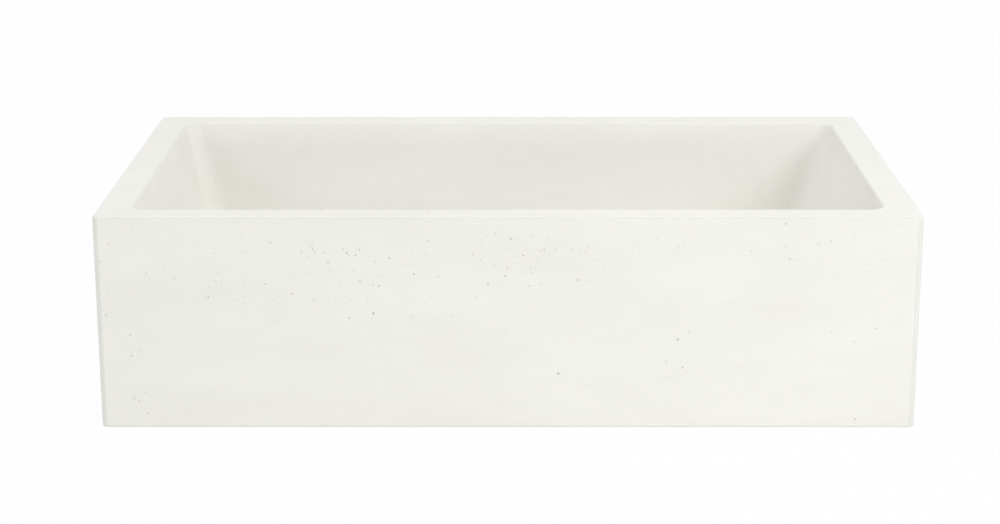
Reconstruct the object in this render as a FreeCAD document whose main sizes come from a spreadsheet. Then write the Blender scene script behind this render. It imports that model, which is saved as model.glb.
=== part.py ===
import FreeCAD, Part
import math
import os

import Sketcher

# Countertop basin: a trough cast in one block of white concrete, with a push-open waste in its floor.
# Millimetres, +Z up, origin at the middle of the base, +X to the right and -Y to the front.
# The plug is modelled raised, as its spring holds it.

# Driving sizes: name, value, what it measures.
SIZES = [
    ("basin_width", 600, "left to right"),
    ("basin_depth", 350, "front to back"),
    ("basin_height", 160, "base to rim"),
    ("rim_width", 25, "flat rim, outer face to bowl"),
    ("outer_corner", 4, "radius of the upright outer edges"),
    ("rim_outer_edge", 1, "radius of the rim's outer edge"),
    ("base_edge", 1.5, "radius of the base's outer edge"),
    ("rim_inner_edge", 3, "radius of the rim's inner edge"),
    ("rim_corner", 12, "radius of the bowl's corners at the rim"),
    ("wall_draft", 13, "lean of the bowl's walls, degrees"),
    ("floor_corner", 20, "radius of the bowl's corners at the floor"),
    ("floor_cove", 14, "radius between walls and floor"),
    ("floor_fall", 5, "drop of the floor from its edge to the drain"),
    ("drain_margin", 9, "level floor left round the flange's seat"),
    ("drain_corner", 38, "corner radius of that level patch"),
    ("floor_thickness", 25, "concrete under the flange's seat"),
    ("foot_width", 35, "foot that runs round the base"),
    ("foot_draft", 6, "lean of the foot's inner face, degrees"),
    ("recess_corner", 30, "corner radius of the hollow underside"),
    ("recess_cove", 8, "radius round the hollow's ceiling"),
    ("hole_clearance", 2, "waste hole round the tail, radius"),
    ("seat_clearance", 3, "seat round the flange, radius"),
    ("seat_depth", 4.5, "depth of the seat"),
    ("gasket_thickness", 1.5, "ring under the flange"),
    ("flange_diameter", 66, "waste's flange"),
    ("flange_thickness", 4, "flange at its rim"),
    ("flange_rim", 4, "level rim of the flange, outside the cone"),
    ("flange_edge", 1.2, "radius of the flange's upper edge"),
    ("mouth_floor", 1, "foot of the cone above the flange's underside"),
    ("mouth_edge", 0.8, "radius where the cone meets the rim"),
    ("tail_diameter", 41.91, "outside of the tail's pipe thread"),
    ("tail_wall", 3, "wall of the tail"),
    ("tail_clearance", 3, "tail's end above the base"),
    ("tail_chamfer", 1, "lead-in on the tail's end"),
    ("trap_thread", 14, "thread left free for the trap's nut"),
    ("relief_width", 1.5, "groove between the two stretches of thread"),
    ("relief_depth", 0.8, "depth of that groove"),
    ("hub_drop", 25, "flange's underside to the hub's top"),
    ("hub_height", 8, "hub and its arms"),
    ("hub_wall", 4, "hub round the barrel's thread"),
    ("arm_width", 4, "arms that carry the hub"),
    ("washer_thickness", 5, "rubber washer under the floor"),
    ("washer_overlap", 8, "washer beyond the waste hole, radius"),
    ("nose_height", 4, "washer's nose, up into the hole"),
    ("nose_taper", 0.8, "how much the nose narrows, radius"),
    ("slip_thickness", 1, "slip washer"),
    ("slip_inset", 2, "slip washer inside the rubber's edge, radius"),
    ("nut_height", 9, "back nut"),
    ("nut_wall", 5, "back nut, thread to flat"),
    ("thread_clearance", 0.1, "between threads, radius"),
    ("ring_clearance", 0.4, "between a ring and what it lies round or in, radius"),
    ("plug_travel", 9, "lift of the plug"),
    ("plug_gap", 0.5, "cover to flange when shut"),
    ("cover_inset", 1, "cover inside the flange's edge, radius"),
    ("cover_skirt", 3.5, "cover's upright edge"),
    ("cover_rise", 3, "crown of the cover"),
    ("cover_edge", 2.5, "radius between crown and skirt"),
    ("cover_gauge", 1.2, "sheet of the cover"),
    ("carrier_thickness", 1.6, "disc inside the cover"),
    ("carrier_clearance", 0.2, "disc to cover, radius"),
    ("seal_inset", 1.5, "seal's edge inside the cone's upper end"),
    ("seal_gap", 0.2, "seal to cone when shut"),
    ("lip_clearance", 1, "lip that keeps the seal to the tail's bore, radius"),
    ("lip_width", 2, "how far that lip stands out of the neck"),
    ("lip_thickness", 1.2, "that lip"),
    ("boss_wall", 3.5, "carrier's boss round the stem"),
    ("boss_height", 3.3, "boss under the lip"),
    ("stem_diameter", 8, "threaded stem"),
    ("stem_end_gap", 0.5, "stem's end to the bottom of its hole"),
    ("stem_roof", 1, "carrier left above the stem's hole"),
    ("lock_nut_height", 4, "lock nut"),
    ("lock_nut_wall", 2.5, "lock nut, thread to flat"),
    ("barrel_gap", 0.5, "lock nut to barrel when shut"),
    ("barrel_wall", 1.5, "barrel's wall where its thread is"),
    ("barrel_step", 1.5, "barrel above the hub, over its thread, radius"),
    ("collar_step", 2, "collar over the barrel, radius"),
    ("collar_height", 4, "collar that seats on the hub"),
    ("collar_flat", 1.5, "depth of the collar's spanner flats"),
    ("barrel_mouth", 4.4, "thickness of the barrel's closed top"),
    ("stem_seal_cord", 1.8, "O-ring's section"),
    ("running_clearance", 0.05, "sliding fits, radius"),
    ("plunger_step", 1.5, "head of the stem over the stem, radius"),
    ("plunger_height", 7, "head of the stem"),
    ("plunger_stop_gap", 0.2, "head to the barrel's top, plug raised"),
    ("crown_ring", 3, "width of the toothed ring"),
    ("crown_depth", 1.4, "crown teeth of head and cam"),
    ("crown_width", 2.6, "foot of one tooth"),
    ("crown_gap", 0.2, "head to cam"),
    ("pilot_height", 4, "cam's pin inside the head"),
    ("cam_height", 4.5, "cam without its pin"),
    ("spigot_clearance", 0.5, "cam's lower end inside the spring, radius"),
    ("spigot_height", 2, "that end"),
    ("spring_wire", 1, "spring's wire"),
    ("spring_gap", 0.3, "spring to what it touches"),
    ("spring_shut", 12, "room for the spring when shut"),
    ("end_plug_thickness", 4, "plug that closes the barrel"),
    ("slot_width", 1.4, "screwdriver slot"),
    ("slot_depth", 1.5, "that slot"),
]

# Widths that follow from the sizes: of the bowl and the hollow, diameters, and spanner sizes across flats.
FITS = [
    ("bowl_width", "=Sizes.basin_width - 2 * Sizes.rim_width", "bowl at the rim, left to right"),
    ("bowl_depth", "=Sizes.basin_depth - 2 * Sizes.rim_width", "bowl at the rim, front to back"),
    ("hollow_width", "=Sizes.basin_width - 2 * Sizes.foot_width", "hollow underside, left to right"),
    ("hollow_depth", "=Sizes.basin_depth - 2 * Sizes.foot_width", "hollow underside, front to back"),
    ("seat_diameter", "=Sizes.flange_diameter + 2 * Sizes.seat_clearance", "flange's seat"),
    ("drain_flat", "=seat_diameter + 2 * Sizes.drain_margin", "side of the level patch round the drain"),
    ("waste_hole", "=Sizes.tail_diameter + 2 * Sizes.hole_clearance", "hole through the floor"),
    ("mouth_diameter", "=Sizes.flange_diameter - 2 * Sizes.flange_rim", "upper end of the flange's cone"),
    ("tail_bore", "=Sizes.tail_diameter - 2 * Sizes.tail_wall", "waterway of the tail"),
    ("ring_bore", "=Sizes.tail_diameter + 2 * Sizes.ring_clearance", "rings round the tail"),
    ("washer_diameter", "=waste_hole + 2 * Sizes.washer_overlap", "rubber washer"),
    ("slip_diameter", "=washer_diameter - 2 * Sizes.slip_inset", "slip washer"),
    ("nut_flats", "=Sizes.tail_diameter + 2 * Sizes.nut_wall", "back nut"),
    ("cover_diameter", "=Sizes.flange_diameter - 2 * Sizes.cover_inset", "plug's cover"),
    ("cover_inside", "=cover_diameter - 2 * Sizes.cover_gauge", "inside of the cover"),
    ("lip_diameter", "=tail_bore - 2 * Sizes.lip_clearance", "lip under the seal"),
    ("neck_diameter", "=lip_diameter - 2 * Sizes.lip_width", "carrier inside the seal"),
    ("boss_diameter", "=Sizes.stem_diameter + 2 * Sizes.boss_wall", "carrier's boss"),
    ("lock_nut_flats", "=Sizes.stem_diameter + 2 * Sizes.lock_nut_wall", "lock nut"),
    ("barrel_bore", "=Sizes.stem_diameter + 2 * Sizes.plunger_step", "inside of the barrel"),
    ("plunger_diameter", "=barrel_bore - 4 * Sizes.running_clearance", "head of the stem, and cam"),
    ("barrel_thread", "=barrel_bore + 2 * Sizes.barrel_wall", "barrel's thread in the hub"),
    ("barrel_diameter", "=barrel_thread + 2 * Sizes.barrel_step", "barrel above the hub"),
    ("collar_diameter", "=barrel_diameter + 2 * Sizes.collar_step", "collar that seats on the hub"),
    ("collar_flats", "=collar_diameter - 2 * Sizes.collar_flat", "spanner flats of the collar"),
    ("hub_diameter", "=barrel_thread + 2 * Sizes.hub_wall", "hub in the waterway"),
    ("pilot_diameter", "=barrel_bore - 2 * Sizes.crown_ring", "cam's pin"),
    ("spring_inside", "=barrel_bore - 2 * (Sizes.spring_gap + Sizes.spring_wire)", "inside of the spring"),
    ("spigot_diameter", "=spring_inside - 2 * Sizes.spigot_clearance", "cam's end inside the spring"),
]

# Heights above the base that follow from the sizes, from the tail's end upwards.
LEVELS = [
    ("tail_end", "=Sizes.tail_clearance", "end of the tail"),
    ("nut_bottom", "=tail_end + Sizes.trap_thread", "back nut's lower face"),
    ("nut_top", "=nut_bottom + Sizes.nut_height", "back nut's upper face"),
    ("slip_top", "=nut_top + Sizes.slip_thickness", "slip washer's upper face"),
    ("recess_top", "=slip_top + Sizes.washer_thickness", "ceiling of the hollow underside"),
    ("nose_top", "=recess_top + Sizes.nose_height", "upper end of the washer's nose"),
    ("seat", "=recess_top + Sizes.floor_thickness", "flange's seat"),
    ("drain_edge", "=seat + Sizes.seat_depth", "lowest part of the floor"),
    ("floor_edge", "=drain_edge + Sizes.floor_fall", "floor at the foot of the walls"),
    ("flange_bottom", "=seat + Sizes.gasket_thickness", "flange's underside"),
    ("flange_top", "=flange_bottom + Sizes.flange_thickness", "flange's upper face"),
    ("cone_bottom", "=flange_bottom + Sizes.mouth_floor", "foot of the cone"),
    ("hub_top", "=flange_bottom - Sizes.hub_drop", "hub's upper face"),
    ("hub_bottom", "=hub_top - Sizes.hub_height", "hub's lower face"),
    ("collar_top", "=hub_top + Sizes.collar_height", "collar's upper face"),
    ("cover_bottom", "=flange_top + Sizes.plug_gap + Sizes.plug_travel", "cover's lower edge, plug raised"),
    ("crown_foot", "=cover_bottom + Sizes.cover_skirt", "where the cover's crown begins"),
    ("crown_top", "=crown_foot + Sizes.cover_rise", "top of the cover"),
    ("carrier_top", "=cover_bottom + Sizes.carrier_thickness", "disc's upper face"),
    ("seal_bottom", "=cone_bottom + Sizes.seal_gap + Sizes.plug_travel", "seal's lower face"),
    ("lip_bottom", "=seal_bottom - Sizes.lip_thickness", "lip's lower face"),
    ("boss_bottom", "=lip_bottom - Sizes.boss_height", "boss's lower face"),
    ("lock_nut_bottom", "=boss_bottom - Sizes.lock_nut_height", "lock nut's lower face"),
    ("stem_hole_top", "=carrier_top - Sizes.stem_roof", "end of the stem's hole"),
    ("stem_top", "=stem_hole_top - Sizes.stem_end_gap", "stem's upper end"),
    ("barrel_top", "=lock_nut_bottom - Sizes.plug_travel - Sizes.barrel_gap", "barrel's upper end"),
    ("stem_seal", "=barrel_top - Sizes.barrel_mouth / 2", "middle of the O-ring"),
    ("barrel_roof", "=barrel_top - Sizes.barrel_mouth", "ceiling inside the barrel"),
    ("plunger_top", "=barrel_roof - Sizes.plunger_stop_gap", "head's upper face"),
    ("plunger_bottom", "=plunger_top - Sizes.plunger_height", "tips of the head's teeth"),
    ("cam_top", "=plunger_bottom - Sizes.crown_gap", "cam's upper face between its teeth"),
    ("pilot_top", "=cam_top + Sizes.pilot_height", "end of the cam's pin"),
    ("cam_bottom", "=cam_top - Sizes.cam_height", "cam's face on the spring"),
    ("spigot_bottom", "=cam_bottom - Sizes.spigot_height", "cam's lower end"),
    ("end_plug_top", "=cam_bottom - Sizes.plug_travel - Sizes.spring_shut", "end plug's upper face"),
    ("barrel_bottom", "=end_plug_top - Sizes.end_plug_thickness", "barrel's lower end"),
]

ARMS = 4
BARREL_WIDTHS = ("barrel_bore", "barrel_thread", "barrel_diameter", "collar_diameter")
CROWN_TEETH = 6
SPRING_TURNS = 7
GAP_POINTS = 36
TOLERANCE = 0.01

doc = FreeCAD.newDocument("basin")
pieces = []


def write_sheet(name, rows):
    sheet = doc.addObject("Spreadsheet::Sheet", name)
    for row, (alias, content, meaning) in enumerate(rows, start=1):
        sheet.set(f"A{row}", alias)
        sheet.set(f"B{row}", str(content))
        sheet.setAlias(f"B{row}", alias)
        sheet.set(f"C{row}", meaning)
    doc.recompute()


write_sheet("Sizes", SIZES)
write_sheet("Fits", FITS)
write_sheet("Levels", LEVELS)
workings = doc.addObject("Spreadsheet::Sheet", "Workings")


def value(expression):
    """The number that an expression on the sheets gives, worked out in a spare cell."""
    workings.set("A1", "=" + expression)
    workings.recompute()
    return float(workings.get("A1"))


# Sketches

def new_body(label):
    body = doc.addObject("PartDesign::Body", label)
    body.Label = label
    pieces.append(body)
    return body


def new_sketch(body, name, plane, level=None):
    """A sketch on one of the body's own planes, lifted to a level where one is given."""
    sketch = body.newObject("Sketcher::SketchObject", f"{body.Name}_{name}")
    support = next(f for f in body.Origin.OriginFeatures if f.Role == plane)
    sketch.AttachmentSupport = [(support, "")]
    sketch.MapMode = "FlatFace"
    if level:
        sketch.setExpression("AttachmentOffset.Base.z", level)
    return sketch


def bind(sketch, constraint, expression):
    """Adds a dimension that follows an expression."""
    index = sketch.addConstraint(constraint)
    sketch.setExpression(f"Constraints[{index}]", expression)


def bind_point(sketch, line, end, across, up):
    """Ties one end of a line to expressions for where it is, or to the upright axis where across is 0."""
    if across == "0":
        sketch.addConstraint(Sketcher.Constraint("PointOnObject", line, end, -2))
    else:
        bind(sketch, Sketcher.Constraint("DistanceX", -1, 1, line, end, value(across)), across)
    bind(sketch, Sketcher.Constraint("DistanceY", -1, 1, line, end, value(up)), up)


def add_lines(sketch, points):
    """Straight lines from point to point and back to the first, joined at their ends."""
    count = len(points)
    corners = [FreeCAD.Vector(x, y, 0) for x, y in points]
    for n in range(count):
        sketch.addGeometry(Part.LineSegment(corners[n], corners[(n + 1) % count]), False)
    for n in range(count):
        sketch.addConstraint(Sketcher.Constraint("Coincident", n, 2, (n + 1) % count, 1))


def outline_sketch(body, name, plane, corners):
    """A closed outline of straight lines through corners given as pairs of expressions."""
    sketch = new_sketch(body, name, plane)
    add_lines(sketch, [(value(across), value(up)) for across, up in corners])
    for n, (across, up) in enumerate(corners):
        bind_point(sketch, n, 1, across, up)
    return sketch


def circle_sketch(body, name, level, diameter):
    sketch = new_sketch(body, name, "XY_Plane", level)
    circle = Part.Circle(FreeCAD.Vector(0, 0, 0), FreeCAD.Vector(0, 0, 1), value(diameter) / 2)
    sketch.addGeometry(circle, False)
    sketch.addConstraint(Sketcher.Constraint("Coincident", 0, 3, -1, 1))
    bind(sketch, Sketcher.Constraint("Diameter", 0, value(diameter)), diameter)
    return sketch


def rectangle_sketch(body, name, level, width, depth):
    """A rectangle centred on the upright axis."""
    sketch = new_sketch(body, name, "XY_Plane", level)
    x, y = value(width) / 2, value(depth) / 2
    add_lines(sketch, [(-x, -y), (x, -y), (x, y), (-x, y)])
    for n in range(4):
        sketch.addConstraint(Sketcher.Constraint("Vertical" if n % 2 else "Horizontal", n))
    sketch.addConstraint(Sketcher.Constraint("Symmetric", 0, 1, 2, 1, -1, 1))
    bind(sketch, Sketcher.Constraint("DistanceX", 0, 1, 0, 2, 2 * x), width)
    bind(sketch, Sketcher.Constraint("DistanceY", 1, 1, 1, 2, 2 * y), depth)
    return sketch


def rounded_sketch(body, name, level, width, depth, radius):
    """A rectangle with round corners, centred on the upright axis: sides 0 to 3, corners 4 to 7."""
    sketch = new_sketch(body, name, "XY_Plane", level)
    x, y, r = value(width) / 2, value(depth) / 2, value(radius)
    front, right = ((r - x, -y), (x - r, -y)), ((x, r - y), (x, y - r))
    back, left = ((x - r, y), (r - x, y)), ((-x, y - r), (-x, r - y))
    for start, end in (front, right, back, left):
        sketch.addGeometry(Part.LineSegment(FreeCAD.Vector(*start, 0), FreeCAD.Vector(*end, 0)), False)
    centres = [(x - r, r - y), (x - r, y - r), (r - x, y - r), (r - x, r - y)]
    for n, centre in enumerate(centres):
        circle = Part.Circle(FreeCAD.Vector(*centre, 0), FreeCAD.Vector(0, 0, 1), r)
        start = (n - 1) * math.pi / 2
        sketch.addGeometry(Part.ArcOfCircle(circle, start, start + math.pi / 2), False)
    for n in range(4):
        sketch.addConstraint(Sketcher.Constraint("Tangent", n, 2, 4 + n, 1))
        sketch.addConstraint(Sketcher.Constraint("Tangent", 4 + n, 2, (n + 1) % 4, 1))
        sketch.addConstraint(Sketcher.Constraint("Vertical" if n % 2 else "Horizontal", n))
    for n in range(5, 8):
        sketch.addConstraint(Sketcher.Constraint("Equal", 4, n))
    sketch.addConstraint(Sketcher.Constraint("Symmetric", 4, 3, 6, 3, -1, 1))
    bind(sketch, Sketcher.Constraint("Radius", 4, r), radius)
    bind(sketch, Sketcher.Constraint("DistanceX", 3, 1, 1, 1, 2 * x), width)
    bind(sketch, Sketcher.Constraint("DistanceY", 0, 1, 2, 1, 2 * y), depth)
    return sketch


def hexagon_sketch(body, name, level, flats):
    """A hexagon with two flats square to Y, held by its inscribed circle."""
    sketch = new_sketch(body, name, "XY_Plane", level)
    reach = value(flats) / math.sqrt(3)
    angles = [n * math.pi / 3 for n in range(6)]
    add_lines(sketch, [(reach * math.cos(angle), reach * math.sin(angle)) for angle in angles])
    circle = Part.Circle(FreeCAD.Vector(0, 0, 0), FreeCAD.Vector(0, 0, 1), value(flats) / 2)
    sketch.addGeometry(circle, True)
    sketch.addConstraint(Sketcher.Constraint("Coincident", 6, 3, -1, 1))
    for n in range(6):
        sketch.addConstraint(Sketcher.Constraint("Tangent", n, 6))
    for n in range(1, 5):
        sketch.addConstraint(Sketcher.Constraint("Equal", 0, n))
    sketch.addConstraint(Sketcher.Constraint("Horizontal", 1))
    bind(sketch, Sketcher.Constraint("Diameter", 6, value(flats)), flats)
    return sketch


# Features

def add_feature(body, kind, name, sketch, **sizes):
    """A sketch-based feature whose named properties follow expressions."""
    feature = body.newObject(f"PartDesign::{kind}", f"{body.Name}_{name}")
    feature.Profile = sketch
    for size, expression in sizes.items():
        feature.setExpression(size, expression)
    doc.recompute()
    return feature


def turn(body, name, sketch, kind="Revolution"):
    """Turns a sketch about the upright axis, to add it or as a Groove to cut it away."""
    feature = body.newObject(f"PartDesign::{kind}", f"{body.Name}_{name}")
    feature.Profile = sketch
    feature.ReferenceAxis = (sketch, ["V_Axis"])
    doc.recompute()
    return feature


def revolve(body, name, corners, kind="Revolution"):
    """Turns an outline in the XZ plane about the upright axis."""
    return turn(body, name, outline_sketch(body, name + "_outline", "XZ_Plane", corners), kind)


def round_edges(body, name, test, radius):
    """Fillets the edges of the body so far that pass a test."""
    base = body.Tip
    edges = enumerate(base.Shape.Edges, start=1)
    names = [f"Edge{n}" for n, edge in edges if not edge.Degenerated and test(edge)]
    if not names:
        raise RuntimeError(f"{body.Label}: no edge to round for {name}")
    feature = body.newObject("PartDesign::Fillet", f"{body.Name}_{name}")
    feature.Base = (base, names)
    feature.setExpression("Radius", radius)
    doc.recompute()
    return feature


def repeat_round(body, name, feature, count):
    """Copies a feature evenly round the upright axis."""
    pattern = body.newObject("PartDesign::PolarPattern", f"{body.Name}_{name}")
    pattern.Originals = [feature]
    pattern.Axis = (next(f for f in body.Origin.OriginFeatures if f.Role == "Z_Axis"), [""])
    pattern.Occurrences = count
    body.Tip = pattern
    doc.recompute()
    return pattern


def at_level(edge, level):
    box = edge.BoundBox
    return abs(box.ZMin - level) < TOLERANCE and abs(box.ZMax - level) < TOLERANCE


def inside(edge, margin):
    """Whether an edge lies further than a margin inside the basin's outer faces."""
    box = edge.BoundBox
    room_x = value("Sizes.basin_width") / 2 - max(abs(box.XMin), abs(box.XMax))
    room_y = value("Sizes.basin_depth") / 2 - max(abs(box.YMin), abs(box.YMax))
    return min(room_x, room_y) > value(margin) - TOLERANCE


def ring_at(diameter, level):
    """A test for the round edge of a turned piece with that diameter and height."""
    across, height = value(diameter), value(level)

    def test(edge):
        round_edge = isinstance(edge.Curve, Part.Circle)
        return round_edge and at_level(edge, height) and abs(2 * edge.Curve.Radius - across) < TOLERANCE

    return test


# The cast basin

def make_basin_body():
    body = new_body("basin_body")
    outline = rectangle_sketch(body, "outline", None, "Sizes.basin_width", "Sizes.basin_depth")
    add_feature(body, "Pad", "block", outline, Length="Sizes.basin_height")
    top = value("Sizes.basin_height")
    round_edges(body, "corners", lambda e: e.BoundBox.ZLength > top / 2, "Sizes.outer_corner")

    # The bowl: leaning walls whose corners open out downwards, then a floor that falls to the drain.
    rim = ("Sizes.basin_height", "Fits.bowl_width", "Fits.bowl_depth", "Sizes.rim_corner")
    inset = "2 * (Sizes.basin_height - Levels.floor_edge) * tan(Sizes.wall_draft * 1 deg)"
    floor_width, floor_depth = f"Fits.bowl_width - {inset}", f"Fits.bowl_depth - {inset}"
    floor = ("Levels.floor_edge", floor_width, floor_depth, "Sizes.floor_corner")
    drain = ("Levels.drain_edge", "Fits.drain_flat", "Fits.drain_flat", "Sizes.drain_corner")
    bowl = body.newObject("PartDesign::SubtractiveLoft", "basin_body_bowl")
    bowl.Profile = rounded_sketch(body, "rim", *rim)
    bowl.Sections = [rounded_sketch(body, "floor", *floor), rounded_sketch(body, "drain", *drain)]
    bowl.Ruled = True
    doc.recompute()

    # The hollow underside leaves a foot round the edge and room to reach the back nut.
    hollow = ("Fits.hollow_width", "Fits.hollow_depth", "Sizes.recess_corner")
    underside = rounded_sketch(body, "hollow", None, *hollow)
    recess = add_feature(body, "Pocket", "recess", underside, Length="Levels.recess_top")
    recess.Reversed = True
    recess.setExpression("TaperAngle", "-Sizes.foot_draft")
    doc.recompute()

    mouth = circle_sketch(body, "hole", "Levels.drain_edge", "Fits.waste_hole")
    add_feature(body, "Pocket", "waste_hole", mouth, Length="Levels.drain_edge")
    sunk = circle_sketch(body, "sunk", "Levels.drain_edge", "Fits.seat_diameter")
    add_feature(body, "Pocket", "seat", sunk, Length="Sizes.seat_depth")

    floor_level, ceiling = value("Levels.floor_edge"), value("Levels.recess_top")
    round_edges(body, "cove", lambda e: at_level(e, floor_level), "Sizes.floor_cove")
    rim_inside = [lambda e: at_level(e, top) and inside(e, "Sizes.rim_width"), "Sizes.rim_inner_edge"]
    rim_outside = [lambda e: at_level(e, top) and not inside(e, "Sizes.rim_width"), "Sizes.rim_outer_edge"]
    base_outside = [lambda e: at_level(e, 0) and not inside(e, "Sizes.foot_width"), "Sizes.base_edge"]
    round_edges(body, "rim_inside", *rim_inside)
    round_edges(body, "rim_outside", *rim_outside)
    round_edges(body, "base", *base_outside)
    hole_edge = ring_at("Fits.waste_hole", "Levels.recess_top")
    round_edges(body, "ceiling", lambda e: at_level(e, ceiling) and not hole_edge(e), "Sizes.recess_cove")


# The waste's fixed pieces

def make_flange_gasket():
    body = new_body("flange_gasket")
    inner, outer = "Fits.ring_bore / 2", "Sizes.flange_diameter / 2"
    revolve(body, "ring", [
        (inner, "Levels.seat"), (outer, "Levels.seat"),
        (outer, "Levels.flange_bottom"), (inner, "Levels.flange_bottom"),
    ])


def make_waste_body():
    body = new_body("waste_body")
    bore, tail = "Fits.tail_bore / 2", "Sizes.tail_diameter / 2"
    flange, groove = "Sizes.flange_diameter / 2", "Sizes.tail_diameter / 2 - Sizes.relief_depth"
    relief = "Levels.nut_bottom - Sizes.relief_width"
    revolve(body, "shell", [
        (bore, "Levels.tail_end"),
        (tail + " - Sizes.tail_chamfer", "Levels.tail_end"),
        (tail, "Levels.tail_end + Sizes.tail_chamfer"),
        (tail, relief),
        (groove, relief),
        (groove, "Levels.nut_bottom"),
        (tail, "Levels.nut_bottom"),
        (tail, "Levels.flange_bottom"),
        (flange, "Levels.flange_bottom"),
        (flange, "Levels.flange_top"),
        ("Fits.mouth_diameter / 2", "Levels.flange_top"),
        (bore, "Levels.cone_bottom"),
    ])
    flange_edge = ring_at("Sizes.flange_diameter", "Levels.flange_top")
    mouth_edge = ring_at("Fits.mouth_diameter", "Levels.flange_top")
    round_edges(body, "flange_edge", flange_edge, "Sizes.flange_edge")
    round_edges(body, "mouth_edge", mouth_edge, "Sizes.mouth_edge")
    wall = "(Fits.tail_bore + Sizes.tail_diameter) / 4"
    side = outline_sketch(body, "arm_side", "XZ_Plane", [
        ("0", "Levels.hub_bottom"), (wall, "Levels.hub_bottom"),
        (wall, "Levels.hub_top"), ("0", "Levels.hub_top"),
    ])
    arm = add_feature(body, "Pad", "arm", side, Length="Sizes.arm_width")
    arm.Midplane = True
    doc.recompute()
    repeat_round(body, "arms", arm, ARMS)
    boss = circle_sketch(body, "boss", "Levels.hub_bottom", "Fits.hub_diameter")
    add_feature(body, "Pad", "hub", boss, Length="Sizes.hub_height")
    thread = "Fits.barrel_thread + 2 * Sizes.thread_clearance"
    hole = circle_sketch(body, "thread", "Levels.hub_top", thread)
    add_feature(body, "Pocket", "hub_thread", hole, Length="Sizes.hub_height")


def make_taper_washer():
    body = new_body("taper_washer")
    inner, nose = "Fits.ring_bore / 2", "Fits.waste_hole / 2 - Sizes.ring_clearance"
    revolve(body, "ring", [
        (inner, "Levels.slip_top"),
        ("Fits.washer_diameter / 2", "Levels.slip_top"),
        ("Fits.washer_diameter / 2", "Levels.recess_top"),
        (nose, "Levels.recess_top"),
        (nose + " - Sizes.nose_taper", "Levels.nose_top"),
        (inner, "Levels.nose_top"),
    ])


def make_slip_washer():
    body = new_body("slip_washer")
    inner, outer = "Fits.ring_bore / 2", "Fits.slip_diameter / 2"
    revolve(body, "ring", [
        (inner, "Levels.nut_top"), (outer, "Levels.nut_top"),
        (outer, "Levels.slip_top"), (inner, "Levels.slip_top"),
    ])


def make_hexagon_nut(label, bottom, height, flats, bore):
    """A nut with its six corners turned down at both ends."""
    body = new_body(label)
    add_feature(body, "Pad", "blank", hexagon_sketch(body, "hexagon", bottom, flats), Length=height)
    reach = f"({flats}) / sqrt(3)"
    drop = f"({reach} - ({flats}) / 2) * tan(30 deg)"
    top = f"{bottom} + {height}"
    for name, face, inside in (("upper", top, f"{top} - {drop}"), ("lower", bottom, f"{bottom} + {drop}")):
        revolve(body, name, [(f"({flats}) / 2", face), (reach, face), (reach, inside)], "Groove")
    hole = circle_sketch(body, "hole", top, bore)
    add_feature(body, "Pocket", "bore", hole, Length=height)


def make_cartridge_barrel():
    body = new_body("cartridge_barrel")
    bore, thread, sleeve, collar = [f"Fits.{name} / 2" for name in BARREL_WIDTHS]
    guide = "Sizes.stem_diameter / 2 + Sizes.running_clearance"
    groove = guide + " + Sizes.stem_seal_cord + Sizes.running_clearance"
    groove_top = "Levels.stem_seal + Sizes.stem_seal_cord / 2 + Sizes.running_clearance"
    groove_bottom = "Levels.stem_seal - Sizes.stem_seal_cord / 2 - Sizes.running_clearance"
    revolve(body, "sleeve", [
        (bore, "Levels.barrel_bottom"),
        (thread, "Levels.barrel_bottom"),
        (thread, "Levels.hub_top"),
        (collar, "Levels.hub_top"),
        (collar, "Levels.collar_top"),
        (sleeve, "Levels.collar_top"),
        (sleeve, "Levels.barrel_top"),
        (guide, "Levels.barrel_top"),
        (guide, groove_top),
        (groove, groove_top),
        (groove, groove_bottom),
        (guide, groove_bottom),
        (guide, "Levels.barrel_roof"),
        (bore, "Levels.barrel_roof"),
    ])
    # Two spanner flats on the collar, each a block cut away outside the flat.
    flat = "Fits.collar_flats / 2"
    cut = outline_sketch(body, "flat", "YZ_Plane", [
        (flat, "Levels.hub_top"), ("Fits.collar_diameter", "Levels.hub_top"),
        ("Fits.collar_diameter", "Levels.collar_top"), (flat, "Levels.collar_top"),
    ])
    spanner_flat = add_feature(body, "Pocket", "spanner_flat", cut, Length="Fits.collar_diameter")
    spanner_flat.Midplane = True
    doc.recompute()
    repeat_round(body, "spanner_flats", spanner_flat, 2)


def make_stem_seal():
    """An O-ring in the groove of the barrel's mouth."""
    seal = doc.addObject("Part::Torus", "stem_seal")
    seal.Label = "stem_seal"
    ring = "Sizes.stem_diameter + Sizes.stem_seal_cord + 2 * Sizes.running_clearance"
    seal.setExpression("Radius1", f"({ring}) / 2")
    seal.setExpression("Radius2", "Sizes.stem_seal_cord / 2")
    seal.setExpression("Placement.Base.z", "Levels.stem_seal")
    pieces.append(seal)


def make_end_plug():
    body = new_body("end_plug")
    thread = "Fits.barrel_bore - 2 * Sizes.thread_clearance"
    slot_top = "Levels.barrel_bottom + Sizes.slot_depth"
    disc = circle_sketch(body, "disc", "Levels.barrel_bottom", thread)
    add_feature(body, "Pad", "blank", disc, Length="Sizes.end_plug_thickness")
    slot = rectangle_sketch(body, "slot", slot_top, "Fits.barrel_bore", "Sizes.slot_width")
    add_feature(body, "Pocket", "screwdriver_slot", slot, Length="Sizes.slot_depth")


# The plug, which moves

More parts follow.
